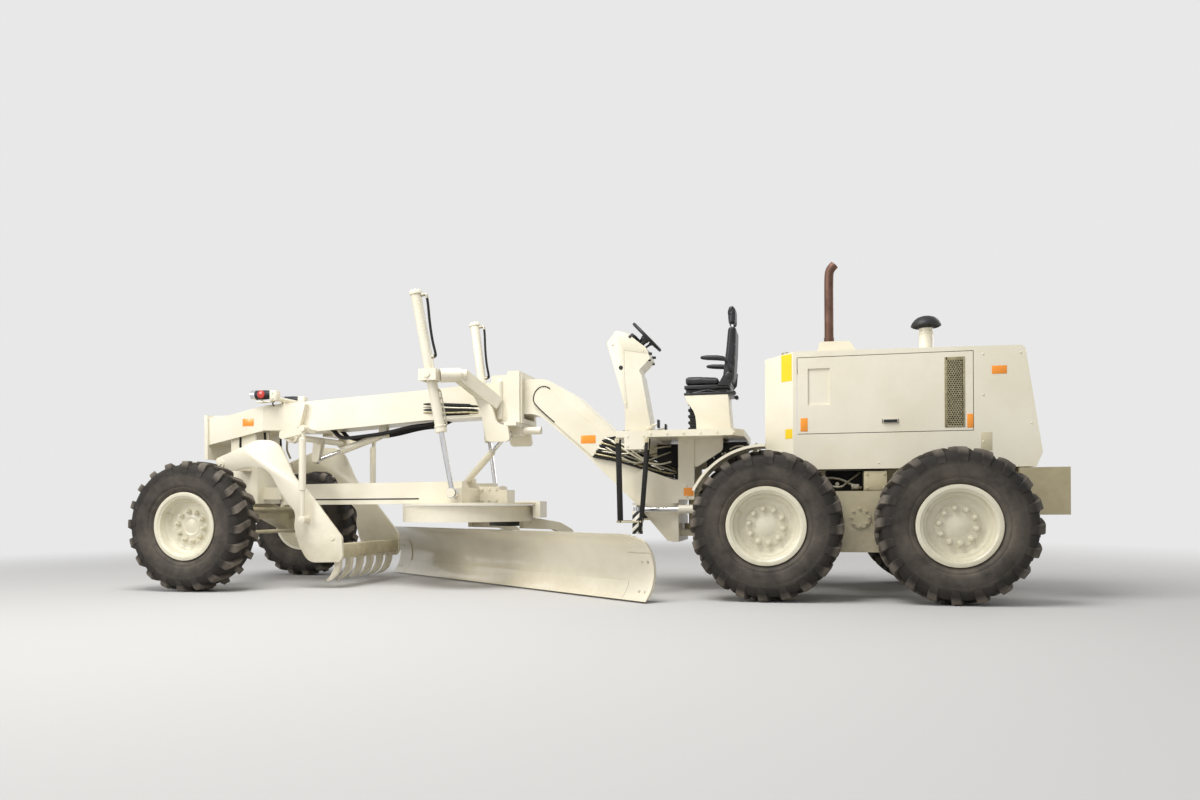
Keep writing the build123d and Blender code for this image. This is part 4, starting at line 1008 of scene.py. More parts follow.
striped = safety_stripes("black_and_white_safety_film", "#EFEBE0", "#171614", 38.0)
front_strap, rear_strap = ((2.112, 1.428), (2.097, 0.664)), ((1.835, 1.428), (1.905, 0.570))
deck_y, strap_half = 0.700, 0.015
for word, s in sides:
    ys = sorted((s * (deck_y + 0.002), s * (deck_y + 0.009)))
    mesh = bmesh.new()
    for (xa, za), (xb, zb) in (front_strap, rear_strap):
        plate_of(mesh, ((xa - strap_half, za), (xa + strap_half, za), (xb + strap_half, zb),
                        (xb - strap_half, zb)), *ys, 0.001)
        plate_of(mesh, ((xa - strap_half, za), (xa + strap_half, za), (xb + strap_half, max(zb, 0.664)),
                        (xb - strap_half, max(zb, 0.664))), s * 0.590, s * 0.597, 0.001)
    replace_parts(keep(f"step_straps_{word}", mesh, strap_rubber, "front_frame"), "ladders")
    mesh = bmesh.new()
    block(mesh, s, (1.890, 2.124), (0.588, deck_y + 0.001), (0.660, 0.679), 0.004)
    for (xa, za), (xb, zb) in (front_strap, rear_strap):
        block(mesh, s, (xa - 0.020, xa + 0.020), (deck_y + 0.0085, deck_y + 0.014), (1.388, 1.432), 0.002)
        bolts(mesh, [at(xa, s * (deck_y + 0.014), z) for z in (1.400, 1.420)], (0, s, 0), 0.010, 0.005)
    bolts(mesh, [at(2.098, s * (deck_y + 0.008), 0.670), at(1.898, s * (deck_y + 0.008), 0.670)], (0, s, 0),
          0.013, 0.008)
    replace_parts(keep(f"boarding_step_{word}", mesh, low_dusty_shaded_paint, "front_frame"), "ladders")
    mesh = bmesh.new()
    plate_of(mesh, ((1.879, 0.558), (1.975, 0.558), (1.975, 0.766), (1.879, 0.766)),
             *sorted((s * (deck_y - 0.006), s * (deck_y - 0.002))), 0.001)
    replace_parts(keep(f"striped_plate_{word}", mesh, striped, "front_frame"), "ladders")
    mesh = bmesh.new()
    block(mesh, s, (1.605, 2.080), (0.290, 0.660), (1.4995, 1.5035), 0.001)
    block(mesh, s, (1.900, 2.085), (0.595, 0.695), (0.6785, 0.6815), 0.001)
    keep(f"grit_panels_{word}", mesh, grip_tape, "front_frame")
mesh = bmesh.new()
for s in (1, -1):
    bolts(mesh, [at(x, s * (deck_y - 0.001), 1.470) for x in (1.05, 1.20, 1.35, 1.50, 1.65, 1.80)], (0, s, 0),
          0.016, 0.007)
    bolts(mesh, [at(x, s * (deck_y - 0.001), z) for x in (1.866, 2.014) for z in (1.360, 1.450)], (0, s, 0),
          0.014, 0.006)
    bolts(mesh, [at(1.525, s * 0.344, z) for z in (0.900, 1.000, 1.400)], (0, s, 0), 0.016, 0.008)
    bolts(mesh, [at(1.300, s * 0.331, 1.400), at(1.420, s * 0.331, 1.400)], (0, s, 0), 0.014, 0.007)
keep("deck_bolts", mesh, body_paint, "front_frame")
print("deck and steps")

# %% [markdown]
# ## Headlamps and nose
# Two round lamps stand on brackets over the nose. Each has a chromed ring, a lens whose pale colour paints the bright
# reflector behind its glass, and a red marker lens on its side. A tube joins the brackets. Bent side plates close the
# nose, and their slanted rear flange is welded to the beam.

# %% Lamps, nose plates and reflectors
lamp_z, lamp_y = 2.018, 0.260
for word, s in sides:
    mesh = bmesh.new()
    turned(mesh, [(0.001, 0.0), (0.030, 0.002), (0.046, 0.030), (0.050, 0.075), (0.050, 0.178), (0.001, 0.180)],
           at(5.962, s * lamp_y, lamp_z), at(6.2, s * lamp_y, lamp_z), 32)
    sweep(mesh, track(s, (5.972, lamp_y, 2.000), (5.930, 0.240, 1.955), (6.010, 0.190, 1.935), (6.000, 0.150, 1.905)),
          0.007, 8, 3)
    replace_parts(keep(f"lamp_housing_{word}", mesh, black_plastic, "front_frame"), "headlamps")
    mesh = bmesh.new()
    lathe(mesh, [(0.049, 0.0), (0.054, 0.004), (0.054, 0.050), (0.049, 0.056), (0.045, 0.052), (0.045, 0.004)],
          aim(at(6.136, s * lamp_y, lamp_z), at(6.3, s * lamp_y, lamp_z)), 36)
    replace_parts(keep(f"lamp_ring_{word}", mesh, chrome, "front_frame"), "headlamps")
    mesh = bmesh.new()
    turned(mesh, [(0.046, 0.0), (0.036, 0.008), (0.020, 0.012), (0.001, 0.013)], at(6.180, s * lamp_y, lamp_z),
           at(6.3, s * lamp_y, lamp_z), 32)
    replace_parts(keep(f"lamp_lens_{word}", mesh, lamp_glass, "front_frame"), "headlamps")
    mesh = bmesh.new()
    turned(mesh, [(0.043, 0.0), (0.043, 0.007), (0.036, 0.011), (0.018, 0.014), (0.001, 0.0145)],
           at(6.058, s * 0.304, lamp_z), at(6.058, s * 0.400, lamp_z), 32)
    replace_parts(keep(f"side_marker_{word}", mesh, red_plastic, "front_frame"), "headlamps")
    mesh = bmesh.new()
    block(mesh, s, (5.886, 5.964), (0.215, 0.300), (1.948, 2.058), 0.008)
    block(mesh, s, (6.040, 6.120), (0.225, 0.300), (1.934, 1.950), 0.003)
    block(mesh, s, (5.950, 6.050), (0.235, 0.285), (1.938, 1.950), 0.003)
    rod(mesh, at(6.080, s * 0.262, 1.945), at(6.080, s * 0.262, 1.970), 0.012, 14)
    rod(mesh, at(5.905, 0, 1.972), at(5.905, s * 0.230, 1.972), 0.025, 20)
    block(mesh, s, (5.890, 5.920), (0.110, 0.150), (1.880, 1.975), 0.004)
    bolts(mesh, [at(5.925, s * 0.300, z) for z in (1.975, 2.030)], (0, s, 0), 0.016, 0.008)
    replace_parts(keep(f"lamp_bracket_{word}", mesh, body_paint, "front_frame"), "headlamps")

    mesh = bmesh.new()
    nose_steps = ((6.084, 0.2395, 1.641, 1.888), (5.900, 0.174, 1.644, 1.896), (5.640, 0.170, 1.648, 1.904))
    steps = [[mesh.verts.new(at(x, s * y, z)) for y, z in ((0.160, low), (near, low), (near, high), (0.160, high))]
             for x, near, low, high in nose_steps]
    for one, two in pairwise(steps):
        for k in range(3):
            mesh.faces.new((one[k], one[k + 1], two[k + 1], two[k]))
    plate_of(mesh, ((5.588, 1.912), (5.612, 1.912), (5.686, 1.642), (5.662, 1.642)),
             *sorted((s * 0.160, s * 0.232)), 0.002)
    bmesh.ops.recalc_face_normals(mesh, faces=mesh.faces)
    keep(f"nose_side_{word}", mesh, body_paint, "front_frame")
    film(f"nose_film_{word}", orange_film, s, (6.194, 6.329), (1.693, 1.772), 0.240, "front_frame")
    film(f"column_film_{word}", orange_film, s, (1.456, 1.549), (0.903, 0.982), 0.345, "front_frame")
    film(f"neck_film_{word}", orange_film, s, (2.440, 2.590), (1.432, 1.512), 0.179, "front_frame")
print("lamps and nose")

# %% [markdown]
# ## Hoses on the beam
# The valve bank sits at the console's foot, and its hoses leave the neck's open end in a fan. Both
# of their ends are screwed into ports on the same frame and they lie in clips, so each is drawn as
# a fixed line with soft bends. A black rubber trim runs round the neck's cover.

# %% Neck hoses, nose hoses and edge trim
fan = (
    # y at the neck, y at the rear box, z at the neck, z in the middle, hose covered in
    (0.188, 0.245, 1.292, 1.205, hose_rubber), (0.192, 0.215, 1.318, 1.232, screen_steel),
    (0.200, 0.190, 1.345, 1.250, hose_rubber), (0.186, 0.160, 1.372, 1.275, zinc),
    (0.198, 0.130, 1.398, 1.290, hose_rubber), (0.190, 0.100, 1.422, 1.310, screen_steel),
    (0.203, 0.070, 1.446, 1.330, hose_rubber), (0.187, 0.040, 1.468, 1.350, zinc),
)
cross_lines = (
    ((2.400, 0.175, 1.350), (2.340, 0.215, 1.345), (2.180, 0.232, 1.315), (1.980, 0.262, 1.330),
     (1.800, 0.262, 1.372), (1.690, 0.200, 1.385)),
    ((2.290, 0.175, 1.452), (2.240, 0.222, 1.430), (2.080, 0.252, 1.320), (1.930, 0.262, 1.235),
     (1.800, 0.262, 1.205), (1.690, 0.200, 1.235)),
    ((2.080, 0.190, 1.205), (2.000, 0.240, 1.225), (1.930, 0.276, 1.290), (1.860, 0.276, 1.372),
     (1.800, 0.236, 1.412)),
    ((2.180, 0.200, 1.420), (2.120, 0.250, 1.395), (2.000, 0.276, 1.300), (1.880, 0.276, 1.222),
     (1.780, 0.226, 1.160)),
    ((2.360, 0.175, 1.400), (2.300, 0.226, 1.375), (2.140, 0.244, 1.262), (1.990, 0.250, 1.215),
     (1.800, 0.250, 1.290), (1.690, 0.190, 1.330)),
)
for word, s in sides:
    for k, (y0, y1, z0, z1, cover_of) in enumerate(fan):
        mesh = bmesh.new()
        x0 = 2.462 - 0.62 * (z0 - 1.300)
        sweep(mesh, track(s, (x0, 0.172, z0 + 0.012), (x0 - 0.05, y0, z0), (2.230, y0 + 0.006, z0 - 0.035),
                          (2.060, (y0 + y1) / 2, z1), (1.860, y1, z1 - 0.065 - 0.006 * (k % 3)),
                          (1.690, y1, z1 - 0.115), (1.634, y1, 1.120), (1.634, y1, 1.050)), 0.0105, 10, 3)
        keep(f"neck_hose_{word}_{k + 1}", mesh, cover_of, "front_frame")
    for k, line in enumerate(cross_lines):
        mesh = bmesh.new()
        sweep(mesh, track(s, *line), 0.0085, 10, 3)
        keep(f"cross_pipe_{word}_{k + 1}", mesh, (zinc, rim_paint)[k % 2], "front_frame")
    # A black plate in the neck's open end is painted shade inside the beam.
    mesh = bmesh.new()
    plate_of(mesh, ((2.462, 1.306), (2.336, 1.484), (2.232, 1.500), (2.206, 1.262), (2.330, 1.262)),
             *sorted((s * 0.1655, s * 0.1675)), 0)
    keep(f"neck_mouth_shade_{word}", mesh, core_and_shade_black, "front_frame")
    mesh = bmesh.new()
    sweep(mesh, [at(x, s * 0.180, z) for x, z in ((2.905, 1.985), (2.950, 2.012), (3.014, 2.006),
                                                  (3.066, 1.954), (3.084, 1.880), (3.058, 1.830),
                                                  (2.960, 1.735), (2.861, 1.650))], 0.0055, 8, 2)
    keep(f"beam_trim_{word}", mesh, hose_rubber, "front_frame")
    for k in range(8):
        mesh = bmesh.new()
        x, y = 6.520 - 0.064 * k, 0.140 + 0.030 * (k % 3)
        sweep(mesh, track(s, (x, y, 1.660), (x - 0.010, y, 1.560),
                          (x - 0.030 + 0.012 * (k % 4), y + 0.008, 1.460),
                          (x - 0.050, y - 0.030, 1.380 + 0.012 * (k % 2)), (x - 0.090, y - 0.070, 1.360)),
              0.0115, 10, 3)
        keep(f"nose_hose_{word}_{k + 1}", mesh, (hose_rubber, zinc)[k % 2], "front_frame")
print("hoses on the beam")

# %% [markdown]
# ## Cylinder fittings
# Each lift cylinder has a bolted end cap at its top, a screwed gland at its mouth, a hose from its
# top port and a thin steel pipe to its lower port. The pipes follow the barrel in clips.

# %% Lift cylinder caps, ports, hose and pipe
lift_top, lift_eye, mouth_z = Vector((4.070, 0.755, 2.880)), Vector((3.765, 0.610, 0.950)), 1.540
for word, s in sides:
    top_at, eye_at = mirrored(lift_top, s), mirrored(lift_eye, s)
    down = (eye_at - top_at).normalized()
    behind = (Vector((-1, 0, 0)) - Vector((-1, 0, 0)).dot(down) * down).normalized()
    outward = down.cross(behind) * (-s if down.cross(behind).y * s < 0 else s)
    length = (mouth_z - lift_top.z) / down.z

    def spot(t, back, out=0.0):
        """A point t down the barrel, off its axis to the rear and outward."""
        p = top_at + down * t + behind * back + outward * out
        return at(p.x, p.y, p.z)

    mesh = bmesh.new()
    turned(mesh, [(0.001, -0.010), (0.050, -0.010), (0.058, -0.004), (0.060, 0.002), (0.060, 0.024),
                  (0.052, 0.027), (0.049, 0.030)], spot(0, 0), spot(1, 0), 36)
    bolts(mesh, [spot(-0.009, 0.038 * cos(a), 0.038 * sin(a)) for a in (pi / 3 * k for k in range(6))], -down,
          0.014, 0.008)
    turned(mesh, [(0.049, length - 0.066), (0.057, length - 0.062), (0.057, length - 0.040),
                  (0.0545, length - 0.036), (0.0545, length - 0.024), (0.058, length - 0.020),
                  (0.058, length + 0.001), (0.050, length + 0.008), (0.027, length + 0.010)], spot(0, 0),
           spot(1, 0), 36)
    keep(f"lift_cap_{word}", mesh, barrel_paint, f"lift_{word}_barrel")
    mesh = bmesh.new()
    rod(mesh, spot(0.045, 0.040), spot(0.045, 0.088), 0.017, 14)
    sweep(mesh, [spot(0.045, 0.080), spot(0.045, 0.106), spot(0.085, 0.106)], 0.013, 10, 2)
    rod(mesh, spot(0.640, 0.040), spot(0.640, 0.074), 0.020, 14)
    sweep(mesh, [spot(0.965, 0.044), spot(0.965, 0.066), spot(0.990, 0.070), spot(length - 0.080, 0.070),
                 spot(length - 0.050, 0.068), spot(length - 0.050, 0.044)], 0.008, 10, 3)
    for t in (1.04, 1.20):
        rod(mesh, spot(t - 0.010, 0.050), spot(t + 0.010, 0.050), 0.018, 12)
    rod(mesh, spot(0.965, 0.040), spot(0.965, 0.064), 0.015, 6)
    rod(mesh, spot(length - 0.050, 0.040), spot(length - 0.050, 0.064), 0.015, 6)
    keep(f"lift_pipe_{word}", mesh, zinc, f"lift_{word}_barrel")
    mesh = bmesh.new()
    sweep(mesh, [spot(0.075, 0.106), spot(0.150, 0.104), spot(0.300, 0.088), spot(0.480, 0.080), spot(0.600, 0.088),
                 spot(0.640, 0.088), spot(0.642, 0.066)], 0.0125, 12, 3)
    keep(f"lift_hose_{word}", mesh, hose_rubber, f"lift_{word}_barrel")
print("lift cylinder fittings")

# %% [markdown]
# ## Saddle and drive box
# Bolt heads mark the joints that can be taken apart: the saddle round the beam and the circle's
# drive box. An upright turned bar closes the saddle on each side.

# %% Bolts on the saddle and the drive box
mesh = bmesh.new()
for s in (1, -1):
    bolts(mesh, [at(3.320, s * 0.234, z) for z in (1.690, 2.040)], (0, s, 0), 0.022, 0.012)
    turned(mesh, [(0.001, 0.0), (0.024, 0.0), (0.034, 0.012), (0.034, 0.388), (0.024, 0.400), (0.001, 0.400)],
           at(3.412, s * 0.228, 1.680), at(3.412, s * 0.228, 2.080), 28)
    bolts(mesh, [at(3.240, s * 0.340, 1.651), at(3.290, s * 0.340, 1.651)], (0, 0, 1), 0.020, 0.010)
keep("saddle_bolts", mesh, body_paint, "front_frame")

mesh = bmesh.new()
bolts(mesh, [at(x, 0.0595, z) for x in (3.520, 3.598, 3.676) for z in (0.880, 0.990)], (0, 1, 0), 0.022, 0.012)
bolts(mesh, [at(x, -0.1795, z) for x in (3.520, 3.598, 3.676) for z in (0.880, 0.990)], (0, -1, 0), 0.022, 0.012)
bolts(mesh, [at(x, y, 1.0195) for x in (3.520, 3.676) for y in (-0.165, -0.110)], (0, 0, 1), 0.022, 0.008)
keep("drive_box_bolts", mesh, body_paint, "drawbar")
print("saddle and drive box")

# %% [markdown]
# ## Blade
# The blade is one rolled board with a cutting edge along its foot and taller plates at its ends. The
# edges wear and are changed, so flush bolts hold them. The board's front is part of a round, and its
# upper corners are cut back in a curve.

# %% Board and edge plates

face_y, face_z, board_r, edge_t = 0.070, 0.258, 0.340, 0.012
blade_turned = Matrix.Translation(at(3.830, 0, 0)) @ Matrix.Rotation(radians(53.3 - 90), 4, "Z")
blade_left, blade_right = -0.205 - 2.285, -0.205 + 2.285


def on_edge(x, z, r):
    """A point on the blade's front face, and the way it faces."""
    point = Vector((x, face_y - sqrt(r * r - (z - face_z) ** 2), z))
    outward = Vector((0, face_y - point.y, face_z - z)).normalized()
    return blade_turned @ point, blade_turned.to_3x3() @ outward


def rolled(mesh, x0, x1, z0, z1, r_front, r_back, rows=26):
    """A rolled plate from x0 to x1 along the blade and z0 to z1 up it, with rounded upper corners."""
    rings = []
    for x_end, way in ((x0, 1), (x1, -1)):
        def x(z):
            return x_end + way * 0.152 * (max(0.0, z - 0.500) / 0.083) ** 2
        up = [(z0 + (z1 - z0) * k / rows, r_front) for k in range(rows + 1)]
        down = [(z1 - (z1 - z0) * k / rows, r_back) for k in range(rows + 1)]
        rings.append([mesh.verts.new(blade_turned @ Vector((x(z), face_y - sqrt(r ** 2 - (z - face_z) ** 2), z)))
                      for z, r in up + down])
    a, b = rings
    made = [mesh.faces.new((a[k], a[(k + 1) % len(a)], b[(k + 1) % len(a)], b[k])) for k in range(len(a))]
    for ring in rings:
        made += [mesh.faces.new((ring[k], ring[k + 1], ring[-2 - k], ring[-1 - k])) for k in range(rows)]
    bmesh.ops.recalc_face_normals(mesh, faces=made)


mesh = bmesh.new()
rolled(mesh, blade_left + 0.002, blade_right - 0.030, 0.030, 0.583, board_r, board_r + 0.019)
board = keep("rolled_board", mesh, blade_paint, "moldboard")
mesh = bmesh.new()
rolled(mesh, blade_left + 0.300, blade_right - 0.300, 0.016, 0.172, board_r - edge_t, board_r, 8)
rolled(mesh, blade_left + 0.001, blade_left + 0.297, 0.016, 0.412, board_r - edge_t, board_r, 16)
rolled(mesh, blade_right - 0.297, blade_right - 0.001, 0.016, 0.412, board_r - edge_t, board_r, 16)
edges = keep("edge_plates", mesh, blade_paint, "moldboard")
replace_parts(board, "moldboard")
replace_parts(edges, "cutting_edges")
soften(board, 0.003, 50)
soften(edges, 0.003, 50)
print("board and edges")

# %% [markdown]
# ## Back of the blade
# Two rails along the board's back let it slide, and a chromed rod pushes it sideways. Flush bolts
# hold the end plates, and a black cover hides the swivel under the circle.

# %% Rails, rod, edge bolts and swivel cover
mesh = bmesh.new()
for low, high in (((blade_left + 0.4, -0.330, 0.430), (blade_right - 0.4, -0.262, 0.471)),
                  ((blade_left + 0.4, -0.330, 0.130), (blade_right - 0.4, -0.258, 0.171)),
                  ((1.250, -0.440, 0.285), (1.280, -0.268, 0.375))):
    slab(mesh, low, high, 0.004)
bmesh.ops.transform(mesh, verts=mesh.verts, matrix=blade_turned)
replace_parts(keep("slide_rails", mesh, low_dusty_shaded_paint, "moldboard"), "moldboard")
mesh = bmesh.new()
rod(mesh, (-0.300, -0.410, 0.330), (1.256, -0.410, 0.330), 0.025, 24)
hexagon(mesh, (1.280, -0.410, 0.330), (1, 0, 0), 0.040, 0.018)
bmesh.ops.transform(mesh, verts=mesh.verts, matrix=blade_turned)
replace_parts(keep("side_shift_rod", mesh, chrome, "moldboard"), "moldboard")
mesh = bmesh.new()
places = [(end + way * (0.060 + 0.070 * k), z) for end, way in ((blade_left, 1), (blade_right, -1)) for k in range(2)
          for z in (0.090, 0.340)]
for x, z in places:
    point, outward = on_edge(x, z, board_r - edge_t)
    turned(mesh, [(0.0130, -0.002), (0.0125, 0.002), (0.009, 0.0045), (0.001, 0.0055)], point, point + outward, 12)
keep("edge_bolts", mesh, edge_steel, "moldboard")
mesh = bmesh.new()
slab(mesh, (-0.184, -0.504, 0.606), (0.184, -0.346, 0.664), 0.006)
bmesh.ops.transform(mesh, verts=mesh.verts, matrix=blade_turned)
keep("swivel_cover", mesh, black_paint, "circle")
print("back of the blade")

# %% [markdown]
# ## Scarifier
# Two flame cut arms, bowed over the axle, carry a square beam in front of the blade. Six forged
# claws are wedged in the beam; each one curves forward to a point. The outlines are given by their
# corners, and each corner is rounded by its own radius.

# %% Rounded outlines


def rounded(corners, steps=6):
    """Turns (x, z, radius) corners into soft bends."""
    out = []
    for k, (x, z, r) in enumerate(corners):
        here = Vector((x, z))
        before, after = (Vector(corners[(k + d) % len(corners)][:2]) - here for d in (-1, 1))
        reach = min(r / tan(before.angle(after) / 2), 0.45 * before.length, 0.45 * after.length)
        start, end = here + before.normalized() * reach, here + after.normalized() * reach
        out += [tuple((1 - t) ** 2 * start + 2 * t * (1 - t) * here + t * t * end)
                for t in (i / steps for i in range(steps + 1))]
    return out


pivot_x, pivot_z = 6.310, 1.270
arm_outline = [(pivot_x + dx, z, r) for dx, z, r in (
    (0.055, 1.215, 0.05), (0.055, 1.325, 0.05), (-0.230, 1.430, 0.30), (-0.420, 1.512, 0.30), (-0.600, 1.500, 0.15),
    (-0.700, 1.425, 0.25), (-0.770, 1.280, 0.40), (-0.840, 1.120, 0.40), (-0.990, 0.985, 0.30), (-1.370, 0.520, 0.06),
    (-1.380, 0.330, 0.04), (-1.345, 0.270, 0.03), (-1.000, 0.262, 0.15), (-0.890, 0.440, 0.30), (-0.842, 0.620, 0.20),
    (-0.860, 0.770, 0.12), (-0.760, 0.870, 0.30), (-0.660, 1.020, 0.30), (-0.580, 1.160, 0.20), (-0.490, 1.225, 0.20),
    (-0.310, 1.235, 0.25), (-0.160, 1.200, 0.20))]
claw_outline = [(pivot_x + dx, z, r) for dx, z, r in (
    (-1.245, 0.335, 0.01), (-1.312, 0.335, 0.01), (-1.316, 0.240, 0.10), (-1.282, 0.140, 0.12), (-1.215, 0.085, 0.10),
    (-1.128, 0.058, 0.002), (-1.196, 0.122, 0.10), (-1.244, 0.215, 0.12))]
print(len(arm_outline), "corners on an arm,", len(claw_outline), "on a claw")

# %% [markdown]
# ## Arms, beam and claws
# Each arm hangs on a pivot beside the nose and carries a boss for its link halfway down. The beam is
# a square tube with a wear strip under it, and every claw sits in a socket below the beam.

# %% Scarifier arms, beam and claws
for word, s in sides:
    mesh = bmesh.new()
    stiffener(mesh, s, rounded(arm_outline), (0.592, 0.628), 0.004)
    rod(mesh, at(5.320, s * 0.600, 0.700), at(5.320, s * 0.739, 0.700), 0.020, 24)
    rod(mesh, at(5.320, s * 0.620, 0.700), at(5.320, s * 0.680, 0.700), 0.036, 28, 0.006)
    rod(mesh, at(5.039, s * 0.620, 0.510), at(5.039, s * 0.636, 0.510), 0.024, 24)
    rod(mesh, at(pivot_x, s * 0.624, pivot_z), at(pivot_x, s * 0.640, pivot_z), 0.048, 28)
    hexagon(mesh, at(pivot_x, s * 0.640, pivot_z), (0, s, 0), 0.044, 0.014)
    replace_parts(keep(f"scarifier_arm_{word}", mesh, body_paint, "scarifier", 30), "scarifier")
mesh = bmesh.new()
slab(mesh, at(4.945, -0.608, 0.318), at(5.090, 0.608, 0.448), 0.008)
slab(mesh, at(4.960, -0.590, 0.312), at(5.075, 0.590, 0.322), 0.002)
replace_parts(keep("scarifier_beam", mesh, low_dusty_shaded_paint, "scarifier"), "scarifier")
mesh = bmesh.new()
for k in range(6):
    y = -0.535 + 0.214 * k
    plate_of(mesh, rounded(claw_outline), y - 0.021, y + 0.021, 0.004)
    slab(mesh, at(4.985, y - 0.030, 0.290), at(5.090, y + 0.030, 0.325), 0.004)
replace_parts(keep("scarifier_claws", mesh, body_paint, "scarifier"), "scarifier")
print("scarifier")

# %% [markdown]
# ## Neck arch, pipes and link sleeves
# Under the neck the beam is open. A black backing paints the shade in the arch, and a few plated pipes lie in front of
# it. The scarifier's two upright links end in turned sleeves, and a cap covers each lower pin.

# %% Arch shade backing, pipes and link sleeves
# The black plate across the arch, and the block beside it, are painted shade.
mesh = bmesh.new()
plate_of(mesh, rounded([(1.335, 1.150, 0.04), (1.345, 1.290, 0.08), (1.215, 1.405, 0.10), (0.960, 1.412, 0.01),
                        (0.975, 1.335, 0.02), (1.120, 1.240, 0.30), (1.230, 1.150, 0.02)]), -0.270, 0.270,
         0.006)
for word, s in sides:
    block(mesh, s, (1.610, 1.840), (0.080, 0.110), (1.180, 1.412), 0.004)
keep("arch_shade_backing", mesh, core_and_shade_black, "front_frame")
mesh = bmesh.new()
for word, s in sides:
    sweep(mesh, track(s, (1.290, 0.274, 1.190), (1.240, 0.285, 1.200), (1.180, 0.280, 1.215),
                      (1.150, 0.266, 1.225)), 0.012, 10, 2)
    sweep(mesh, track(s, (1.120, 0.266, 1.340), (1.070, 0.285, 1.365), (1.010, 0.285, 1.372),
                      (0.970, 0.266, 1.352)), 0.009, 10, 2)
    bolts(mesh, [at(x, s * 0.270, z) for x, z in ((1.270, 1.262), (1.190, 1.300), (1.165, 1.306))], (0, s, 0),
          0.014, 0.007)
    sweep(mesh, track(s, (0.960, 0.262, 1.330), (0.900, 0.300, 1.362), (0.870, 0.300, 1.392),
                      (0.864, 0.250, 1.360)), 0.010, 10, 3)
keep("arch_pipes", mesh, zinc, "front_frame")
mesh = bmesh.new()
for word, s in sides:
    turned(mesh, [(0.021, 0.0), (0.034, 0.006), (0.034, 0.512), (0.028, 0.520), (0.021, 0.528)],
           at(5.318, s * 0.712, 0.985), at(5.311, s * 0.712, 1.600), 28)
    turned(mesh, [(0.001, 0.0), (0.026, 0.0), (0.036, 0.006), (0.036, 0.024), (0.030, 0.030), (0.001, 0.030)],
           at(5.320, s * 0.705, 0.700), at(5.320, s * 0.735, 0.700), 28)
keep("link_sleeves", mesh, body_paint, "scarifier_links")
print("arch and sleeves")

# %% [markdown]
# ## Drawbar stripe, beam pocket and driveline
# A thin black stripe runs along the drawbar. Behind the near lift cylinder, a black plate paints the shade in a long
# pocket of the beam where hoses pass. Above the chain cases, pipes and a valve show between the wheels in front of a
# black sheet of painted shadow on the rail.

# %% Stripe, pocket and driveline


def on_leg(x, out, s):
    """A point beside the drawbar's slanting side."""
    y = 0.058 + (5.930 - x) * 0.442 / 2.220
    return s * (y + out)


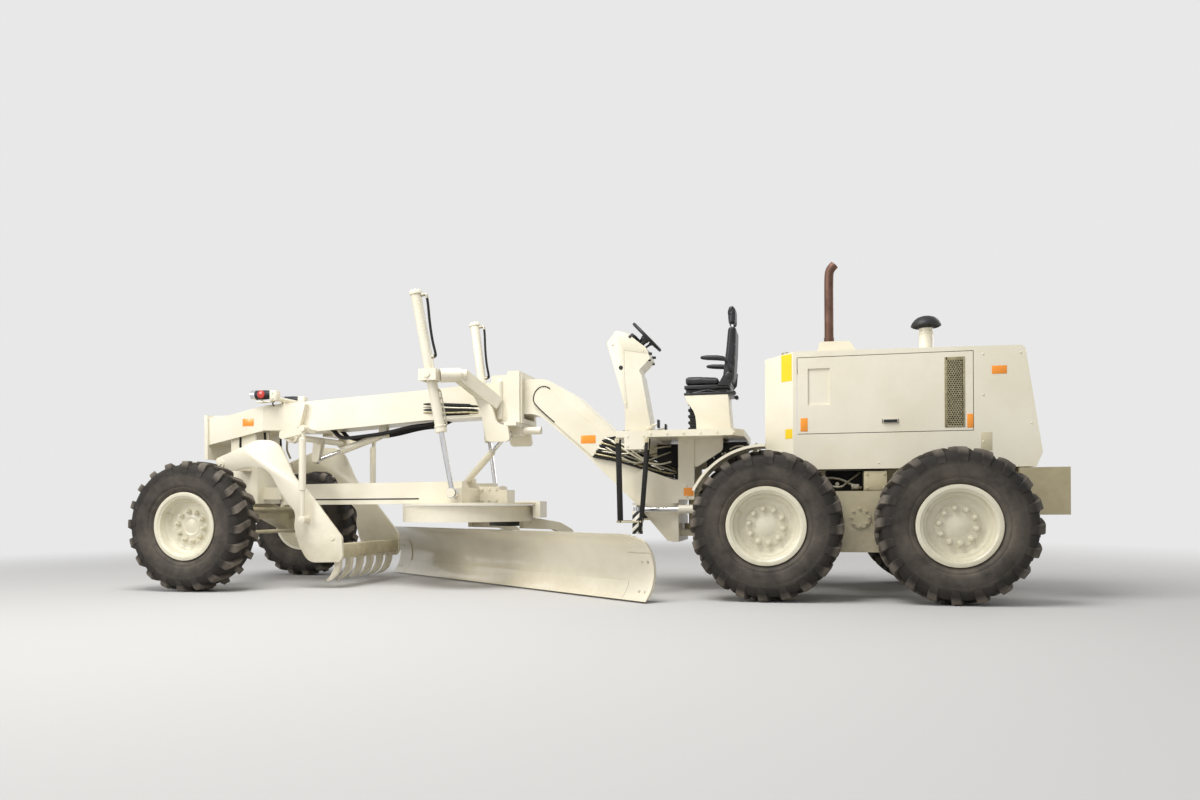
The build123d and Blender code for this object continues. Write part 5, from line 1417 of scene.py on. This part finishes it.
stripe = ((5.600, 0.892), (4.215, 0.890), (4.215, 0.904), (5.600, 0.906))
for word, s in sides:
    mesh = bmesh.new()
    near, back = ([mesh.verts.new(at(x, on_leg(x, out, s), z)) for x, z in stripe] for out in (0.0015, -0.004))
    mesh.faces.new(near)
    for k in range(4):
        mesh.faces.new((near[k], back[k], back[(k + 1) % 4], near[(k + 1) % 4]))
    bmesh.ops.recalc_face_normals(mesh, faces=mesh.faces)
    keep(f"drawbar_stripe_{word}", mesh, black_paint, "drawbar")

    # A black plate on the beam's side is painted shade in the pocket.
    mesh = bmesh.new()
    plate_of(mesh, rounded([(4.120, 1.745, 0.03), (4.125, 1.885, 0.04), (3.760, 1.862, 0.03),
                            (3.690, 1.800, 0.03), (3.770, 1.752, 0.03)]), *sorted((s * 0.1640, s * 0.1662)), 0)
    keep(f"beam_pocket_shade_{word}", mesh, core_and_shade_black, "front_frame")
    for k, (z0, z1, skin_of) in enumerate(((1.872, 1.842, hose_rubber), (1.842, 1.818, zinc),
                                           (1.812, 1.796, hose_rubber), (1.782, 1.776, screen_steel))):
        mesh = bmesh.new()
        sweep(mesh, track(s, (4.300, 0.150, z0 + 0.004), (4.120, 0.186, z0),
                          (3.960, 0.190, (z0 + z1) / 2 - 0.006), (3.780, 0.184, z1),
                          (3.640, 0.150, z1 - 0.010)), 0.010, 10, 3)
        keep(f"beam_hose_{word}_{k + 1}", mesh, skin_of, "front_frame")
    mesh = bmesh.new()
    for k, (y, dz) in enumerate(((0.060, 0.0), (0.095, 0.012), (0.128, -0.006))):
        sweep(mesh, track(s, (5.340, y, 1.640), (5.240, y, 1.540 + dz), (5.000, y, 1.560 + dz),
                          (4.714, y, 1.590 + dz), (4.441, y, 1.652 + dz), (4.211, y, 1.668 + dz),
                          (4.080, y, 1.720)), 0.011, 10, 3)
    keep(f"beam_lower_hoses_{word}", mesh, hose_rubber, "front_frame")

    # A black sheet on the rail is painted shadow behind the pipes.
    film(f"rail_shadow_{word}", core_and_shade_black, s, (-0.260, 0.250), (0.940, 1.122), 0.3355)
    mesh = bmesh.new()
    sweep(mesh, track(s, (0.240, 0.370, 1.060), (0.120, 0.380, 1.050), (0.020, 0.390, 0.990),
                      (-0.060, 0.380, 0.965)), 0.014, 12, 2)
    sweep(mesh, track(s, (0.230, 0.420, 0.985), (0.120, 0.430, 0.965), (0.060, 0.400, 1.020),
                      (-0.050, 0.360, 1.100)), 0.010, 10, 3)
    block(mesh, s, (-0.040, 0.030), (0.340, 0.430), (0.950, 0.998), 0.006)
    hexagon(mesh, at(0.000, s * 0.430, 0.974), (0, s, 0), 0.030, 0.014)
    rod(mesh, at(0.150, s * 0.336, 1.000), at(0.150, s * 0.410, 1.000), 0.018, 16)
    keep(f"drive_pipes_{word}", mesh, zinc, "rear_frame")
    mesh = bmesh.new()
    block(mesh, s, (-0.270, -0.075), (0.336, 0.500), (0.935, 1.110), 0.006)
    bolts(mesh, [at(x, s * 0.499, z) for x in (-0.245, -0.100) for z in (0.960, 1.085)], (0, s, 0), 0.018, 0.009)
    bolts(mesh, [at(-0.020 + 0.074 * cos(a), s * 0.7765, 0.705 + 0.074 * sin(a))
                 for a in (pi / 4 * k for k in range(8))], (0, s, 0), 0.018, 0.009)
    keep(f"valve_box_{word}", mesh, low_dusty_shaded_paint, "rear_frame")
print("stripe, pocket and driveline")

# %% [markdown]
# ## Floor and light
# A plain pale floor and a plain pale wall leave the machine alone in the frame. A large soft lamp
# overhead and one from the left front give the broad highlights of a studio, and a weak one from
# behind lifts the far side.

# %% Floor, backdrop and lamps
bpy.context.scene.view_settings.view_transform = "Standard"


def plain_stage(name, hex_colour, fade_from, fade_to):
    """A matt pale floor that takes the shadows, and fades into the backdrop far out."""
    material, tree, place = start_material(name)
    matt = add(tree, "ShaderNodeBsdfDiffuse", {"Color": linear(hex_colour)})
    clear = add(tree, "ShaderNodeBsdfTransparent")
    far = add(tree, "ShaderNodeVectorMath", {"operation": "LENGTH"}, {0: place})
    share = add(tree, "ShaderNodeMapRange", {"interpolation_type": "SMOOTHSTEP", "From Min": fade_from,
                                             "From Max": fade_to}, {"Value": far.outputs["Value"]})
    finish_material(tree, add(tree, "ShaderNodeMixShader",
                              links={0: share.outputs[0], 1: matt.outputs[0], 2: clear.outputs[0]}))
    return material


floor_mesh = bpy.data.meshes.new("floor")
floor_mesh.from_pydata([(-40, -40, 0), (40, -40, 0), (40, 40, 0), (-40, 40, 0)], [], [(0, 1, 2, 3)])
floor_mesh.materials.append(plain_stage("pale_floor", "#BDBBB8", 5.0, 13.0))
floor = bpy.data.objects.new("floor", floor_mesh)
bpy.context.scene.collection.objects.link(floor)

world = bpy.data.worlds.new("studio")
bpy.context.scene.world = world
world.use_nodes = True
world.node_tree.nodes.clear()
path = add(world.node_tree, "ShaderNodeLightPath")
seen = add(world.node_tree, "ShaderNodeBackground", {"Color": linear("#E8E8E8"), "Strength": 1.0})
soft = add(world.node_tree, "ShaderNodeBackground", {"Color": linear("#F2F4F8"), "Strength": 0.62})
direct = add(world.node_tree, "ShaderNodeMath", {"operation": "MAXIMUM"},
             {0: path.outputs["Is Camera Ray"], 1: path.outputs["Is Transmission Ray"]})
shown = add(world.node_tree, "ShaderNodeMath", {"operation": "MAXIMUM"},
            {0: direct.outputs[0], 1: path.outputs["Is Glossy Ray"]})
both = add(world.node_tree, "ShaderNodeMixShader", links={0: shown.outputs[0], 1: soft.outputs[0], 2: seen.outputs[0]})
add(world.node_tree, "ShaderNodeOutputWorld", links={"Surface": both.outputs[0]})


def lamp(name, place, target, size, watts):
    data = bpy.data.lights.new(name, "AREA")
    data.shape = "DISK"
    data.size = size
    data.energy = watts
    made = bpy.data.objects.new(name, data)
    bpy.context.scene.collection.objects.link(made)
    facing = (Vector(place) - Vector(target)).to_track_quat("Z", "Y").to_matrix().to_4x4()
    made.matrix_world = Matrix.Translation(place) @ facing


lamp("overhead", (1.5, 4.0, 9.0), (0, 0, 1), 6.0, 900)
lamp("front_left", (9.0, 9.0, 6.0), (0, 0, 1), 5.0, 520)
lamp("behind", (-9.0, -7.0, 6.0), (0, 0, 1), 5.0, 250)
print("stage set")
